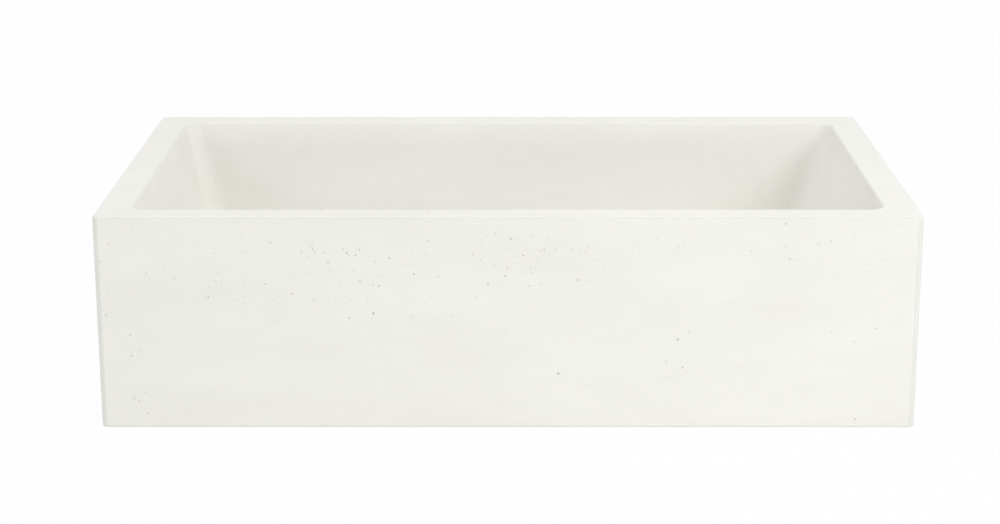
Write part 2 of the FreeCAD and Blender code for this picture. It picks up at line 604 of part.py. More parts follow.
def dome_sketch(body, name, edge, foot, shoulder, top):
    """Half of a cap in the XZ plane: an upright edge under an arc whose centre is on the axis."""
    across, low, high, peak = value(edge), value(foot), value(shoulder), value(top)
    rise = peak - high
    ball = (across * across + rise * rise) / (2 * rise)
    circle = Part.Circle(FreeCAD.Vector(0, peak - ball, 0), FreeCAD.Vector(0, 0, 1), ball)
    corners = ((0, low), (across, low), (across, high), (0, peak))
    middle, rim, brow, crest = [FreeCAD.Vector(*corner, 0) for corner in corners]
    sketch = new_sketch(body, name, "XZ_Plane")
    sketch.addGeometry(Part.LineSegment(middle, rim), False)
    sketch.addGeometry(Part.LineSegment(rim, brow), False)
    sketch.addGeometry(Part.ArcOfCircle(circle, math.acos(across / ball), math.pi / 2), False)
    sketch.addGeometry(Part.LineSegment(crest, middle), False)
    for n in range(4):
        sketch.addConstraint(Sketcher.Constraint("Coincident", n, 2, (n + 1) % 4, 1))
    sketch.addConstraint(Sketcher.Constraint("PointOnObject", 2, 3, -2))
    bind_point(sketch, 0, 1, "0", foot)
    bind_point(sketch, 1, 1, edge, foot)
    bind_point(sketch, 1, 2, edge, shoulder)
    bind_point(sketch, 3, 1, "0", top)
    return sketch


def make_plug_cover():
    """A pressed cover: a turned cap with a rounded edge, hollowed from below to the sheet's gauge."""
    body = new_body("plug_cover")
    foot, shoulder, top = "Levels.cover_bottom", "Levels.crown_foot", "Levels.crown_top"
    cap = dome_sketch(body, "outside", "Fits.cover_diameter / 2", foot, shoulder, top)
    turn(body, "cap", cap)
    round_edges(body, "edge", ring_at("Fits.cover_diameter", shoulder), "Sizes.cover_edge")
    inner_shoulder, inner_top = [f"{level} - Sizes.cover_gauge" for level in (shoulder, top)]
    hollow = dome_sketch(body, "inside", "Fits.cover_inside / 2", foot, inner_shoulder, inner_top)
    turn(body, "hollow", hollow, "Groove")
    inner_edge = ring_at("Fits.cover_inside", inner_shoulder)
    round_edges(body, "inner_edge", inner_edge, "Sizes.cover_edge - Sizes.cover_gauge")


def make_plug_carrier():
    body = new_body("plug_carrier")
    disc = "Fits.cover_inside / 2 - Sizes.carrier_clearance"
    hole = "Sizes.stem_diameter / 2 + Sizes.thread_clearance"
    neck, lip, boss = "Fits.neck_diameter / 2", "Fits.lip_diameter / 2", "Fits.boss_diameter / 2"
    revolve(body, "disc", [
        ("0", "Levels.stem_hole_top"),
        (hole, "Levels.stem_hole_top"),
        (hole, "Levels.boss_bottom"),
        (boss, "Levels.boss_bottom"),
        (boss, "Levels.lip_bottom"),
        (lip, "Levels.lip_bottom"),
        (lip, "Levels.seal_bottom"),
        (neck, "Levels.seal_bottom"),
        (neck, "Levels.cover_bottom"),
        (disc, "Levels.cover_bottom"),
        (disc, "Levels.carrier_top"),
        ("0", "Levels.carrier_top"),
    ])


def make_plug_seal():
    """A ring whose underside leans as the flange's cone does."""
    body = new_body("plug_seal")
    inner, foot = "Fits.neck_diameter / 2 + Sizes.running_clearance", "Fits.tail_bore / 2"
    edge = "Fits.mouth_diameter / 2 - Sizes.seal_inset"
    lean = "2 * (Levels.flange_top - Levels.cone_bottom) / (Fits.mouth_diameter - Fits.tail_bore)"
    revolve(body, "ring", [
        (inner, "Levels.seal_bottom"),
        (foot, "Levels.seal_bottom"),
        (edge, f"Levels.seal_bottom + ({edge} - {foot}) * {lean}"),
        (edge, "Levels.cover_bottom"),
        (inner, "Levels.cover_bottom"),
    ])


def crown_tooth(body, name, base, tip):
    """A sketch of one crown tooth, seen along the spoke that it lies on."""
    sketch = new_sketch(body, name, "XZ_Plane")
    half = "Sizes.crown_width / 2"
    x, low = value(half), value(base)
    add_lines(sketch, [(-x, low), (x, low), (0, value(tip))])
    sketch.addConstraint(Sketcher.Constraint("Symmetric", 0, 1, 0, 2, -2))
    bind(sketch, Sketcher.Constraint("DistanceX", -1, 1, 0, 2, x), half)
    bind(sketch, Sketcher.Constraint("DistanceY", -1, 1, 0, 2, low), base)
    bind_point(sketch, 1, 2, "0", tip)
    return sketch


def make_push_stem():
    body = new_body("push_stem")
    head, stem = "Fits.plunger_diameter / 2", "Sizes.stem_diameter / 2"
    socket = "Fits.pilot_diameter / 2 + 2 * Sizes.running_clearance"
    socket_top = "Levels.pilot_top + Sizes.crown_gap"
    revolve(body, "turning", [
        ("0", socket_top),
        (socket, socket_top),
        (socket, "Levels.plunger_bottom"),
        (head, "Levels.plunger_bottom"),
        (head, "Levels.plunger_top"),
        (stem, "Levels.plunger_top"),
        (stem, "Levels.stem_top"),
        ("0", "Levels.stem_top"),
    ])
    notch = crown_tooth(body, "notch", "Levels.plunger_bottom", "Levels.plunger_bottom + Sizes.crown_depth")
    tooth = add_feature(body, "Pocket", "crown", notch, Length="Fits.plunger_diameter")
    repeat_round(body, "crown_teeth", tooth, CROWN_TEETH)


def make_index_cam():
    body = new_body("index_cam")
    rim, pilot, spigot = "Fits.plunger_diameter / 2", "Fits.pilot_diameter / 2", "Fits.spigot_diameter / 2"
    revolve(body, "turning", [
        ("0", "Levels.spigot_bottom"),
        (spigot, "Levels.spigot_bottom"),
        (spigot, "Levels.cam_bottom"),
        (rim, "Levels.cam_bottom"),
        (rim, "Levels.cam_top"),
        (pilot, "Levels.cam_top"),
        (pilot, "Levels.pilot_top"),
        ("0", "Levels.pilot_top"),
    ])
    ridge = crown_tooth(body, "ridge", "Levels.cam_top", "Levels.cam_top + Sizes.crown_depth")
    tooth = add_feature(body, "Pad", "crown", ridge, Length=f"{rim} - Sizes.running_clearance")
    repeat_round(body, "crown_teeth", tooth, CROWN_TEETH)


# The spring

def biarc(start, start_way, end, end_way):
    """Two arcs that leave start and reach end along the given unit directions and touch in between."""
    chord = end - start
    turn = start_way + end_way
    a = 2 * (start_way.dot(end_way) - 1)
    b = -2 * chord.dot(turn)
    c = chord.dot(chord)
    reach = (-b - math.sqrt(b * b - 4 * a * c)) / (2 * a)
    first, last = start + start_way * reach, end - end_way * reach
    join = (first + last) * 0.5
    arcs = []
    for foot, corner, head in ((start, first, join), (join, last, end)):
        middle = (foot + head) * 0.5
        to_corner = corner - middle
        half = (head - foot).Length / 2
        side = (corner - foot).Length
        rise = half * (side - half) / to_corner.Length
        arcs.append(Part.Arc(foot, middle + to_corner.normalize() * rise, head))
    return arcs


def least_gap(point, wire):
    """Room between the spring's turns, measured on points a half turn or more apart along it."""
    points = [point(n / GAP_POINTS) for n in range(GAP_POINTS * SPRING_TURNS + 1)]
    apart = GAP_POINTS // 2
    pairs = ((a, b) for n, a in enumerate(points) for b in points[n + apart:])
    return min((b - a).Length for a, b in pairs) - wire


def make_cartridge_spring():
    wire = value("Sizes.spring_wire")
    gap = value("Sizes.spring_gap")
    radius = (value("Fits.spring_inside") + wire) / 2
    bottom = value("Levels.end_plug_top") + gap + wire / 2
    top = value("Levels.cam_bottom") - gap - wire / 2
    pitch = (top - bottom) / SPRING_TURNS
    quarters = 4 * SPRING_TURNS

    def point(share):
        angle = 2 * math.pi * share
        return FreeCAD.Vector(radius * math.cos(angle), radius * math.sin(angle), bottom + pitch * share)

    def way(share):
        angle = 2 * math.pi * share
        along = FreeCAD.Vector(-radius * math.sin(angle), radius * math.cos(angle), pitch / (2 * math.pi))
        return along.normalize()

    edges = []
    for n in range(quarters):
        a, b = n / 4, (n + 1) / 4
        edges += [arc.toShape() for arc in biarc(point(a), way(a), point(b), way(b))]
    path = Part.Wire(edges)
    section = Part.Wire(Part.Circle(point(0), way(0), wire / 2).toShape())
    tube = path.makePipeShell([section], True, False)
    solid = Part.Solid(Part.Shell(tube.Faces))
    ideal = math.pi * wire * wire / 4 * path.Length
    print(f"spring: volume {solid.Volume:.1f} mm3, section times length {ideal:.1f} mm3")
    print(f"spring: least gap between turns {least_gap(point, wire):.2f} mm")
    spring = doc.addObject("Part::Feature", "cartridge_spring")
    spring.Label = "cartridge_spring"
    spring.Shape = solid
    pieces.append(spring)


# Build

make_basin_body()
make_flange_gasket()
make_waste_body()
make_taper_washer()
make_slip_washer()
make_hexagon_nut(
    "back_nut", "Levels.nut_bottom", "Sizes.nut_height", "Fits.nut_flats",
    "Sizes.tail_diameter + 2 * Sizes.thread_clearance",
)
make_cartridge_barrel()
make_stem_seal()
make_end_plug()
make_cartridge_spring()
make_plug_cover()
make_plug_carrier()
make_plug_seal()
make_hexagon_nut(
    "lock_nut", "Levels.lock_nut_bottom", "Sizes.lock_nut_height", "Fits.lock_nut_flats",
    "Sizes.stem_diameter + 2 * Sizes.thread_clearance",
)
make_push_stem()
make_index_cam()
doc.recompute()

for item in doc.Objects:
    if "Invalid" in item.State or "Error" in item.State:
        raise RuntimeError(f"{item.Label} failed: {item.State}")
for piece in pieces:
    shape = piece.Shape
    if shape.isNull() or not shape.isValid() or len(shape.Solids) != 1:
        raise RuntimeError(f"{piece.Label} is not one valid solid")

os.makedirs("parts", exist_ok=True)
for piece in pieces:
    piece.Shape.exportStep(f"parts/{piece.Label}.step")
    print(f"{piece.Label}: {piece.Shape.Volume / 1000:.2f} cm3")
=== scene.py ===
import math
import random
from collections import namedtuple

import bpy
from mathutils import Euler, Matrix, Vector


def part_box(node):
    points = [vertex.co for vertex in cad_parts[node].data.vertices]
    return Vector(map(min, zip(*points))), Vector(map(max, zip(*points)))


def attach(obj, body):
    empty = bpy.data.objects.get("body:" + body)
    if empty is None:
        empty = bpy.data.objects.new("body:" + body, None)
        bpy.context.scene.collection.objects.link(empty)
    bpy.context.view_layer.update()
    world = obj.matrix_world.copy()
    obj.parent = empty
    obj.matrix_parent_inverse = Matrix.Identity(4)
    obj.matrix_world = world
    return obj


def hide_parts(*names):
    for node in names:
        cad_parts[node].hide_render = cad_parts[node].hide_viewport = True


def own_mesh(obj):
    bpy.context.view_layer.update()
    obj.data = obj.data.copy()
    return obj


# A countertop basin cast in white concrete, with a push-open waste in its floor.
# Pieces are modelled in millimetres, each in its place, and brought to metres when they are finished.

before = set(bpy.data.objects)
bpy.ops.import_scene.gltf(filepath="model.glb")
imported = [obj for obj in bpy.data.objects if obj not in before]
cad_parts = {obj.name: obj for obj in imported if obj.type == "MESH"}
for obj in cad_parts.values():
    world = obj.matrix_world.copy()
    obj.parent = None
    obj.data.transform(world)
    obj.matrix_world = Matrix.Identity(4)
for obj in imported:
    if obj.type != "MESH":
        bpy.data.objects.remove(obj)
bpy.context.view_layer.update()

# A millimetre in metres, how near two places lie to count as one, and how near two points lie to be merged
MM = 0.001
NEAR = 0.01
MERGE = 0.001


# Sizes from the frame

def span(node):
    """Radius, lowest and highest level of a CAD node that lies round the upright axis, in millimetres."""
    low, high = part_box(node)
    return high.x / MM, low.z / MM, high.z / MM


basin_low, basin_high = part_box("basin_body")
WIDTH = (basin_high.x - basin_low.x) / MM
DEPTH = (basin_high.y - basin_low.y) / MM
HEIGHT = basin_high.z / MM
GASKET_RADIUS, SEAT, FLANGE_BOTTOM = span("flange_gasket")
FLANGE_RADIUS, TAIL_END, FLANGE_TOP = span("waste_body")
WASHER_RADIUS, WASHER_BOTTOM, NOSE_TOP = span("taper_washer")
SLIP_RADIUS, SLIP_BOTTOM, SLIP_TOP = span("slip_washer")
NUT_REACH, NUT_BOTTOM, NUT_TOP = span("back_nut")
COLLAR_RADIUS, BARREL_BOTTOM, BARREL_TOP = span("cartridge_barrel")
END_PLUG_RADIUS, END_PLUG_BOTTOM, END_PLUG_TOP = span("end_plug")
COVER_RADIUS, COVER_BOTTOM, COVER_TOP = span("plug_cover")
CARRIER_RADIUS, BOSS_BOTTOM, CARRIER_TOP = span("plug_carrier")
SEAL_RADIUS, SEAL_BOTTOM, SEAL_TOP = span("plug_seal")
LOCK_NUT_REACH, LOCK_NUT_BOTTOM, LOCK_NUT_TOP = span("lock_nut")
HEAD_RADIUS, HEAD_BOTTOM, STEM_TOP = span("push_stem")
_, SPIGOT_BOTTOM, PILOT_TOP = span("index_cam")

# Sizes of the casting, in millimetres, with angles written in degrees
RIM_WIDTH = 25
OUTER_CORNER = 4
RIM_OUTER_EDGE = 1
BASE_EDGE = 1.5
RIM_INNER_EDGE = 3
RIM_CORNER = 12
WALL_LEAN = math.radians(13)
FLOOR_CORNER = 20
FLOOR_COVE = 14
FLOOR_FALL = 5
DRAIN_PATCH = 90
DRAIN_CORNER = 38
SEAT_DIAMETER = 72
SEAT_DEPTH = 4.5
WASTE_HOLE = 45.91
FLOOR_THICKNESS = 25
FOOT_WIDTH = 35
FOOT_LEAN = math.radians(6)
RECESS_CORNER = 30
RECESS_COVE = 8

# Clearances inside the waste, in millimetres
RING_CLEARANCE = 0.4
THREAD_CLEARANCE = 0.1
RUNNING_CLEARANCE = 0.05
END_GAP = 0.2
SPRING_GAP = 0.3

# Sizes of the waste, in millimetres
TAIL_RADIUS = 41.91 / 2
TAIL_WALL = 3
TAIL_BORE = TAIL_RADIUS - TAIL_WALL
TAIL_CHAMFER = 1
PIPE_PITCH = 2.309
PIPE_DEPTH = 1.479
THREAD_END = 50
RELIEF_WIDTH = 1.5
RELIEF_DEPTH = 0.8
FLANGE_RIM = 4
MOUTH_RADIUS = FLANGE_RADIUS - FLANGE_RIM
MOUTH_FLOOR = 1
CONE_BOTTOM = FLANGE_BOTTOM + MOUTH_FLOOR
FLANGE_EDGE = 1.2
MOUTH_EDGE = 0.8
HUB_DROP = 25
HUB_TOP = FLANGE_BOTTOM - HUB_DROP
HUB_HEIGHT = 8
HUB_BOTTOM = HUB_TOP - HUB_HEIGHT
HUB_RADIUS = 11
ARM_WIDTH = 4
CAST_EDGE = 0.6
RING_BORE = TAIL_RADIUS + RING_CLEARANCE
NUT_BORE = TAIL_RADIUS + THREAD_CLEARANCE
NUT_LEAD = 0.8
RECESS_TOP = SEAT - FLOOR_THICKNESS
NOSE_RADIUS = WASTE_HOLE / 2 - RING_CLEARANCE
NOSE_TAPER = 0.8
COVER_GAUGE = 1.2
COVER_SKIRT = 3.5
COVER_EDGE = 2.5
LIP_INSET = 1
LIP_RADIUS = TAIL_BORE - LIP_INSET
LIP_DEPTH = 2
NECK_RADIUS = LIP_RADIUS - LIP_DEPTH
LIP_THICKNESS = 1.2
BOSS_RADIUS = 7.5
STEM_RADIUS = 4
STEM_EDGE = 0.4
STEM_HOLE = STEM_RADIUS + THREAD_CLEARANCE
STEM_PITCH = 1.25
STEM_DEPTH = 0.77
STEM_ROOF = 1
LOCK_NUT_LEAD = 0.5
BARREL_BORE = 5.5
BARREL_THREAD = 7
BARREL_PITCH = 1
BARREL_DEPTH = 0.61
BARREL_RUNOUT = 2
HUB_THREAD = BARREL_THREAD + THREAD_CLEARANCE
SLEEVE_RADIUS = 8.5
COLLAR_HEIGHT = 4
COLLAR_FLAT = 1.5
BARREL_MOUTH = 4.4
GUIDE_RADIUS = STEM_RADIUS + RUNNING_CLEARANCE
SEAL_GROOVE = 1.9
HEAD_TOP = BARREL_TOP - BARREL_MOUTH - END_GAP
CROWN_DEPTH = 1.4
CROWN_WIDTH = 2.6
CROWN_TEETH = 6
SOCKET_RADIUS = 2.6
SOCKET_TOP = PILOT_TOP + END_GAP
SPIGOT_HEIGHT = 2
SLOT_WIDTH = 1.4
SLOT_DEPTH = 1.5
WIRE = 1
SPRING_RADIUS = 4.7
SPRING_TURNS = 7
EDGE_BREAK = 0.3
# Half the width of a thread's groove, as a share of its pitch
GROOVE_SHARE = 0.45

# Fineness of the meshes: steps round an arc or a turn, cells in millimetres, angles written in degrees
CORNER_STEPS = 16
EDGE_STEPS = 6
BREAK_STEPS = 2
TURN_STEPS = 96
THREAD_STEPS = 48
DOME_STEPS = 10
WIRE_SIDES = 12
CELL = 18.5
SHARP_ANGLE = math.radians(40)
SMOOTH_ANGLE = math.radians(35)
WIRE_ANGLE = math.radians(60)


# Modelling by hand

def begin(name):
    """Starts an empty piece and leaves it open in edit mode."""
    bpy.ops.object.select_all(action="DESELECT")
    bpy.ops.mesh.primitive_plane_add()
    piece = bpy.context.object
    piece.name = name
    piece.data.name = name
    bpy.ops.object.mode_set(mode="EDIT")
    bpy.ops.mesh.select_mode(type="VERT")
    bpy.ops.mesh.delete(type="VERT")
    return piece


def close():
    """Merges what lies together, turns the faces outwards and leaves edit mode."""
    bpy.ops.mesh.select_all(action="SELECT")
    bpy.ops.mesh.remove_doubles(threshold=MERGE)
    bpy.ops.mesh.normals_make_consistent(inside=False)
    bpy.ops.object.mode_set(mode="OBJECT")


def pick(test, kind="VERT"):
    """Selects the points of the open piece whose place passes a test, or the edges with both ends there."""
    bpy.ops.mesh.select_mode(type=kind)
    bpy.ops.mesh.select_all(action="DESELECT")
    bpy.ops.object.mode_set(mode="OBJECT")
    mesh = bpy.context.object.data
    passed = [test(point.co) for point in mesh.vertices]
    if kind == "VERT":
        for point, good in zip(mesh.vertices, passed):
            point.select = good
    else:
        for edge in mesh.edges:
            edge.select = all(passed[n] for n in edge.vertices)
    bpy.ops.object.mode_set(mode="EDIT")


def draw_outline(corners):
    """Draws a closed outline of (radius, level) corners in the open piece, some with a rounding as well."""
    radius, level = corners[0][:2]
    bpy.ops.mesh.primitive_plane_add(size=1, location=(radius, 0, level))
    bpy.ops.mesh.merge(type="CENTER")
    for last, corner in zip(corners, corners[1:]):
        step = (corner[0] - last[0], 0, corner[1] - last[1])
        bpy.ops.mesh.extrude_region_move(TRANSFORM_OT_translate={"value": step})
    bpy.ops.mesh.select_all(action="SELECT")
    bpy.ops.mesh.edge_face_add()
    for rounding in sorted({corner[2] for corner in corners if len(corner) > 2}):
        places = [Vector((c[0], 0, c[1])) for c in corners if len(c) > 2 and c[2] == rounding]
        pick(lambda at: any((at - place).length < NEAR for place in places))
        bpy.ops.mesh.bevel(affect="VERTICES", offset=rounding, segments=EDGE_STEPS)
    bpy.ops.mesh.select_all(action="SELECT")
    bpy.ops.mesh.delete(type="ONLY_FACE")


def turned(name, corners):
    """Turns an outline about the upright axis. A side of the outline that lies on the axis is left open."""
    piece = begin(name)
    draw_outline(corners)
    pick(lambda at: abs(at.x) < NEAR, "EDGE")
    bpy.ops.mesh.delete(type="EDGE")
    bpy.ops.mesh.select_mode(type="VERT")
    bpy.ops.mesh.select_all(action="SELECT")
    bpy.ops.mesh.spin(steps=TURN_STEPS, angle=2 * math.pi, center=(0, 0, 0), axis=(0, 0, 1))
    close()
    return piece


def select_only(piece):
    """Selects one piece alone and makes it the active one."""
    bpy.ops.object.select_all(action="DESELECT")
    piece.select_set(True)
    bpy.context.view_layer.objects.active = piece


def apply(piece, modifier):
    """Applies a modifier of a piece, which is then the only one selected."""
    select_only(piece)
    bpy.ops.object.modifier_apply(modifier=modifier.name)


def combine(piece, tool, operation="DIFFERENCE", merge=MERGE):
    """Cuts a tool out of a piece, joins it on or keeps what they share, and removes the tool."""
    modifier = piece.modifiers.new("tool", "BOOLEAN")
    modifier.solver = "MANIFOLD"
    modifier.operation = operation
    modifier.object = tool
    apply(piece, modifier)
    bpy.data.objects.remove(tool)
    # Along the cut, points can come twice and faces can have no area.
    bpy.ops.object.mode_set(mode="EDIT")
    bpy.ops.mesh.select_all(action="SELECT")
    bpy.ops.mesh.remove_doubles(threshold=merge)
    bpy.ops.mesh.dissolve_degenerate(threshold=merge)
    bpy.ops.object.mode_set(mode="OBJECT")


def soften(piece, width):
    """Breaks the sharp edges of a piece."""
    modifier = piece.modifiers.new("edges", "BEVEL")
    modifier.width = width
    modifier.segments = BREAK_STEPS
    modifier.limit_method = "ANGLE"
    modifier.angle_limit = SHARP_ANGLE
    apply(piece, modifier)


def block(name, size, place, angle=0.0):
    """A bar of the given size, turned about the upright axis."""
    piece = begin(name)
    bpy.ops.mesh.primitive_cube_add(size=1, location=place)
    bpy.ops.transform.resize(value=size, center_override=place)
    bpy.ops.transform.rotate(value=angle, orient_axis="Z", center_override=(0, 0, 0))
    close()
    return piece


def wound(name, corners, pitch, low, turns):
    """Winds a closed outline of (radius, rise) corners up a screw line and closes its two ends."""
    piece = begin(name)
    draw_outline([(radius, low + rise) for radius, rise in corners])
    bpy.ops.object.mode_set(mode="OBJECT")
    screw = piece.modifiers.new("screw", "SCREW")
    screw.screw_offset = pitch
    screw.iterations = turns
    screw.steps = THREAD_STEPS
    screw.render_steps = THREAD_STEPS
    apply(piece, screw)
    bpy.ops.object.mode_set(mode="EDIT")
    bpy.ops.mesh.select_all(action="SELECT")
    bpy.ops.mesh.fill_holes(sides=len(corners))
    close()
    return piece


def cut_thread(piece, radius, pitch, depth, low, high):
    """Cuts a V thread into a turned piece, in whole turns from a low level to about a high one."""
    half = GROOVE_SHARE * pitch
    clear = radius + pitch
    groove = [(radius - depth, 0), (radius, -half), (clear, -half), (clear, half), (radius, half)]
    turns = round((high - low) / pitch)
    combine(piece, wound("thread_tool", groove, pitch, low, turns))


def to_metres(piece):
    """Brings a piece from millimetres to metres."""
    select_only(piece)
    piece.scale = (MM, MM, MM)
    bpy.ops.object.transform_apply(location=False, rotation=False, scale=True)


def finish(piece, node, body, material=None, angle=SMOOTH_ANGLE):
    """Brings a piece to metres, smooths it, gives it a material and puts it in its CAD node's place."""
    to_metres(piece)
    bpy.ops.object.shade_smooth_by_angle(angle=angle)
    weighted = piece.modifiers.new("normals", "WEIGHTED_NORMAL")
    weighted.keep_sharp = True
    apply(piece, weighted)
    if material:
        piece.data.materials.append(material)
    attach(piece, body)
    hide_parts(node)


# Materials

# Numbers of a Mix node's colour sockets: the two that go in and the one that comes out
MIX_FROM, MIX_TO, MIX_OUT = 6, 7, 2


def colour(hexadecimal):
    """Linear colour of an sRGB hex value."""
    channels = [int(hexadecimal[n:n + 2], 16) / 255 for n in (1, 3, 5)]
    linear = [c / 12.92 if c <= 0.04045 else ((c + 0.055) / 1.055) ** 2.4 for c in channels]
    return (*linear, 1.0)


def new_material(name, **sockets):
    """A material whose shader has the sockets that are the same all over set to values."""
    material = bpy.data.materials.new(name)
    material.use_nodes = True
    shader = material.node_tree.nodes["Principled BSDF"]
    for socket, value in sockets.items():
        shader.inputs[socket.replace("_", " ")].default_value = value
    return material, material.node_tree, shader


def add(tree, kind, sockets=None, **settings):
    """Adds a node, with its own settings and with values or links on its sockets."""
    node = tree.nodes.new("ShaderNode" + kind)
    for setting, value in settings.items():
        setattr(node, setting, value)
    for socket, value in (sockets or {}).items():
        if isinstance(value, bpy.types.NodeSocket):
            tree.links.new(value, node.inputs[socket])
        else:
            node.inputs[socket].default_value = value
    return node


def feed(tree, shader, **outputs):
    """Links the outputs of nodes to the shader's sockets."""
    for socket, output in outputs.items():
        tree.links.new(output, shader.inputs[socket.replace("_", " ")])


def per_metre(size):
    """Scale of a pattern whose features are that many millimetres apart."""
    return 1 / (size * MM)


def white_concrete(name, dark, light):
    """White cement cast in a smooth mould: matt, faintly clouded, with fine sand and pinholes in its skin."""
    material, tree, shader = new_material(name, IOR=1.5)
    place = add(tree, "TexCoord").outputs["Object"]
    layers = add(tree, "Mapping", {"Vector": place, "Scale": (0.35, 0.35, 1.0)})
    clouds = add(tree, "TexNoise", {
        "Vector": layers.outputs[0], "Scale": per_metre(55), "Detail": 4, "Roughness": 0.55,
    })
    mottle = add(tree, "TexNoise", {
        "Vector": layers.outputs[0], "Scale": per_metre(24), "Detail": 5, "Roughness": 0.6,
    })
    # Real sand is finer than a pixel of the picture, so its grain is drawn coarser.
    sand = add(tree, "TexNoise", {"Vector": place, "Scale": per_metre(1.4), "Detail": 2})
    specks = add(tree, "TexVoronoi", {"Vector": place, "Scale": per_metre(9)})
    mixed = add(tree, "Math", {0: clouds.outputs["Fac"], 1: mottle.outputs["Fac"]}, operation="ADD")
    both = add(tree, "MapRange", {"Value": mixed.outputs[0], "From Min": 0.7, "From Max": 1.3})
    skin = add(tree, "Mix", {
        "Factor": both.outputs[0], MIX_FROM: colour(dark), MIX_TO: colour(light),
    }, data_type="RGBA")
    grain = add(tree, "MapRange", {
        "Value": sand.outputs["Fac"], "From Min": 0.3, "From Max": 0.7, "To Min": 0.975, "To Max": 1.01,
    })
    grained = add(tree, "Mix", {
        "Factor": 1.0, MIX_FROM: skin.outputs[MIX_OUT], MIX_TO: grain.outputs[0],
    }, data_type="RGBA", blend_type="MULTIPLY")
    # Tiny pits exist only in the bump, so the skin is darkened towards #aaa79d there as painted shade of the
    # pits.
    dots = add(tree, "MapRange", {
        "Value": specks.outputs["Distance"],
        "From Min": 0.035, "From Max": 0.065, "To Min": 0.25, "To Max": 0.0,
    })
    pit_shaded = add(tree, "Mix", {
        "Factor": dots.outputs[0], MIX_FROM: grained.outputs[MIX_OUT], MIX_TO: colour("#aaa79d"),
    }, data_type="RGBA")
    rough = add(tree, "MapRange", {"Value": mottle.outputs["Fac"], "To Min": 0.66, "To Max": 0.88})
    pitted = add(tree, "Math", {0: sand.outputs["Fac"], 1: dots.outputs[0]}, operation="SUBTRACT")
    bump = add(tree, "Bump", {"Height": pitted.outputs[0], "Strength": 0.25, "Distance": 0.15 * MM})
    feed(tree, shader, Base_Color=pit_shaded.outputs[MIX_OUT], Roughness=rough.outputs[0], Normal=bump.outputs[0])
    return material


def pinhole_shade_concrete():
    """The rough cement inside a pinhole, which the mould never touched and so has no sheen; its darker tone
    is painted shade that deepens the pit.
    """
    material, tree, shader = new_material("shaded_pore_concrete", IOR=1.45, Roughness=0.95)
    place = add(tree, "TexCoord").outputs["Object"]
    crumbs = add(tree, "TexNoise", {"Vector": place, "Scale": per_metre(0.5), "Detail": 2})
    tone = add(tree, "Mix", {
        "Factor": crumbs.outputs["Fac"], MIX_FROM: colour("#d3d2ca"), MIX_TO: colour("#dfded8"),
    }, data_type="RGBA")
    feed(tree, shader, Base_Color=tone.outputs[MIX_OUT])
    return material


def turning_marks(tree, spacing):
    """Noise that runs round the upright axis, as the marks of a lathe or a polishing wheel do."""
    place = add(tree, "TexCoord").outputs["Object"]
    parts = add(tree, "SeparateXYZ", {"Vector": place})
    flat = add(tree, "CombineXYZ", {"X": parts.outputs["X"], "Y": parts.outputs["Y"]})
    radius = add(tree, "VectorMath", {0: flat.outputs[0]}, operation="LENGTH")
    line = add(tree, "CombineXYZ", {"X": radius.outputs["Value"], "Y": parts.outputs["Z"]})
    return add(tree, "TexNoise", {
        "Vector": line.outputs[0], "Scale": per_metre(spacing), "Detail": 3,
    }, noise_dimensions="2D").outputs["Fac"]


def chrome_plate():
    """Bright chromium over polished brass: a mirror with faint wheel marks and a breath of water film."""
    material, tree, shader = new_material("polished_chrome_plate", Metallic=1.0)
    marks = turning_marks(tree, 0.6)
    place = add(tree, "TexCoord").outputs["Object"]
    film = add(tree, "TexNoise", {"Vector": place, "Scale": per_metre(9), "Detail": 4, "Roughness": 0.6})
    rough = add(tree, "MapRange", {
        "Value": film.outputs["Fac"], "From Min": 0.35, "From Max": 0.75, "To Min": 0.06, "To Max": 0.16,
    })
    tone = add(tree, "Mix", {
        "Factor": film.outputs["Fac"], MIX_FROM: colour("#dcdfe1"), MIX_TO: colour("#cfd3d6"),
    }, data_type="RGBA")
    bump = add(tree, "Bump", {"Height": marks, "Strength": 0.04, "Distance": 0.02 * MM})
    feed(tree, shader, Base_Color=tone.outputs[MIX_OUT], Roughness=rough.outputs[0], Normal=bump.outputs[0])
    return material


def turned_brass():
    """Free-cutting brass straight from the lathe: yellow, with fine tool marks and a little tarnish."""
    material, tree, shader = new_material("turned_brass", Metallic=1.0)
    marks = turning_marks(tree, 0.18)
    place = add(tree, "TexCoord").outputs["Object"]
    tarnish = add(tree, "TexNoise", {"Vector": place, "Scale": per_metre(7), "Detail": 5, "Roughness": 0.65})
    tone = add(tree, "Mix", {
        "Factor": tarnish.outputs["Fac"], MIX_FROM: colour("#d9b56b"), MIX_TO: colour("#b48a45"),
    }, data_type="RGBA")
    rough = add(tree, "MapRange", {"Value": marks, "To Min": 0.22, "To Max": 0.42})
    bump = add(tree, "Bump", {"Height": marks, "Strength": 0.3, "Distance": 0.03 * MM})
    feed(tree, shader, Base_Color=tone.outputs[MIX_OUT], Roughness=rough.outputs[0], Normal=bump.outputs[0])
    return material


def moulded(name, dark, light, roughness, grain, depth, ior):
    """A moulded skin: two near tones, a grain in millimetres and how deep it is."""
    material, tree, shader = new_material(name, IOR=ior)
    place = add(tree, "TexCoord").outputs["Object"]
    bloom = add(tree, "TexNoise", {"Vector": place, "Scale": per_metre(11), "Detail": 4, "Roughness": 0.6})
    skin = add(tree, "TexNoise", {"Vector": place, "Scale": per_metre(grain), "Detail": 2})
    tone = add(tree, "Mix", {
        "Factor": bloom.outputs["Fac"], MIX_FROM: colour(dark), MIX_TO: colour(light),
    }, data_type="RGBA")
    rough = add(tree, "MapRange", {
        "Value": skin.outputs["Fac"], "To Min": roughness - 0.08, "To Max": roughness + 0.08,
    })
    bump = add(tree, "Bump", {"Height": skin.outputs["Fac"], "Strength": 0.3, "Distance": depth * MM})
    feed(tree, shader, Base_Color=tone.outputs[MIX_OUT], Roughness=rough.outputs[0], Normal=bump.outputs[0])
    return material


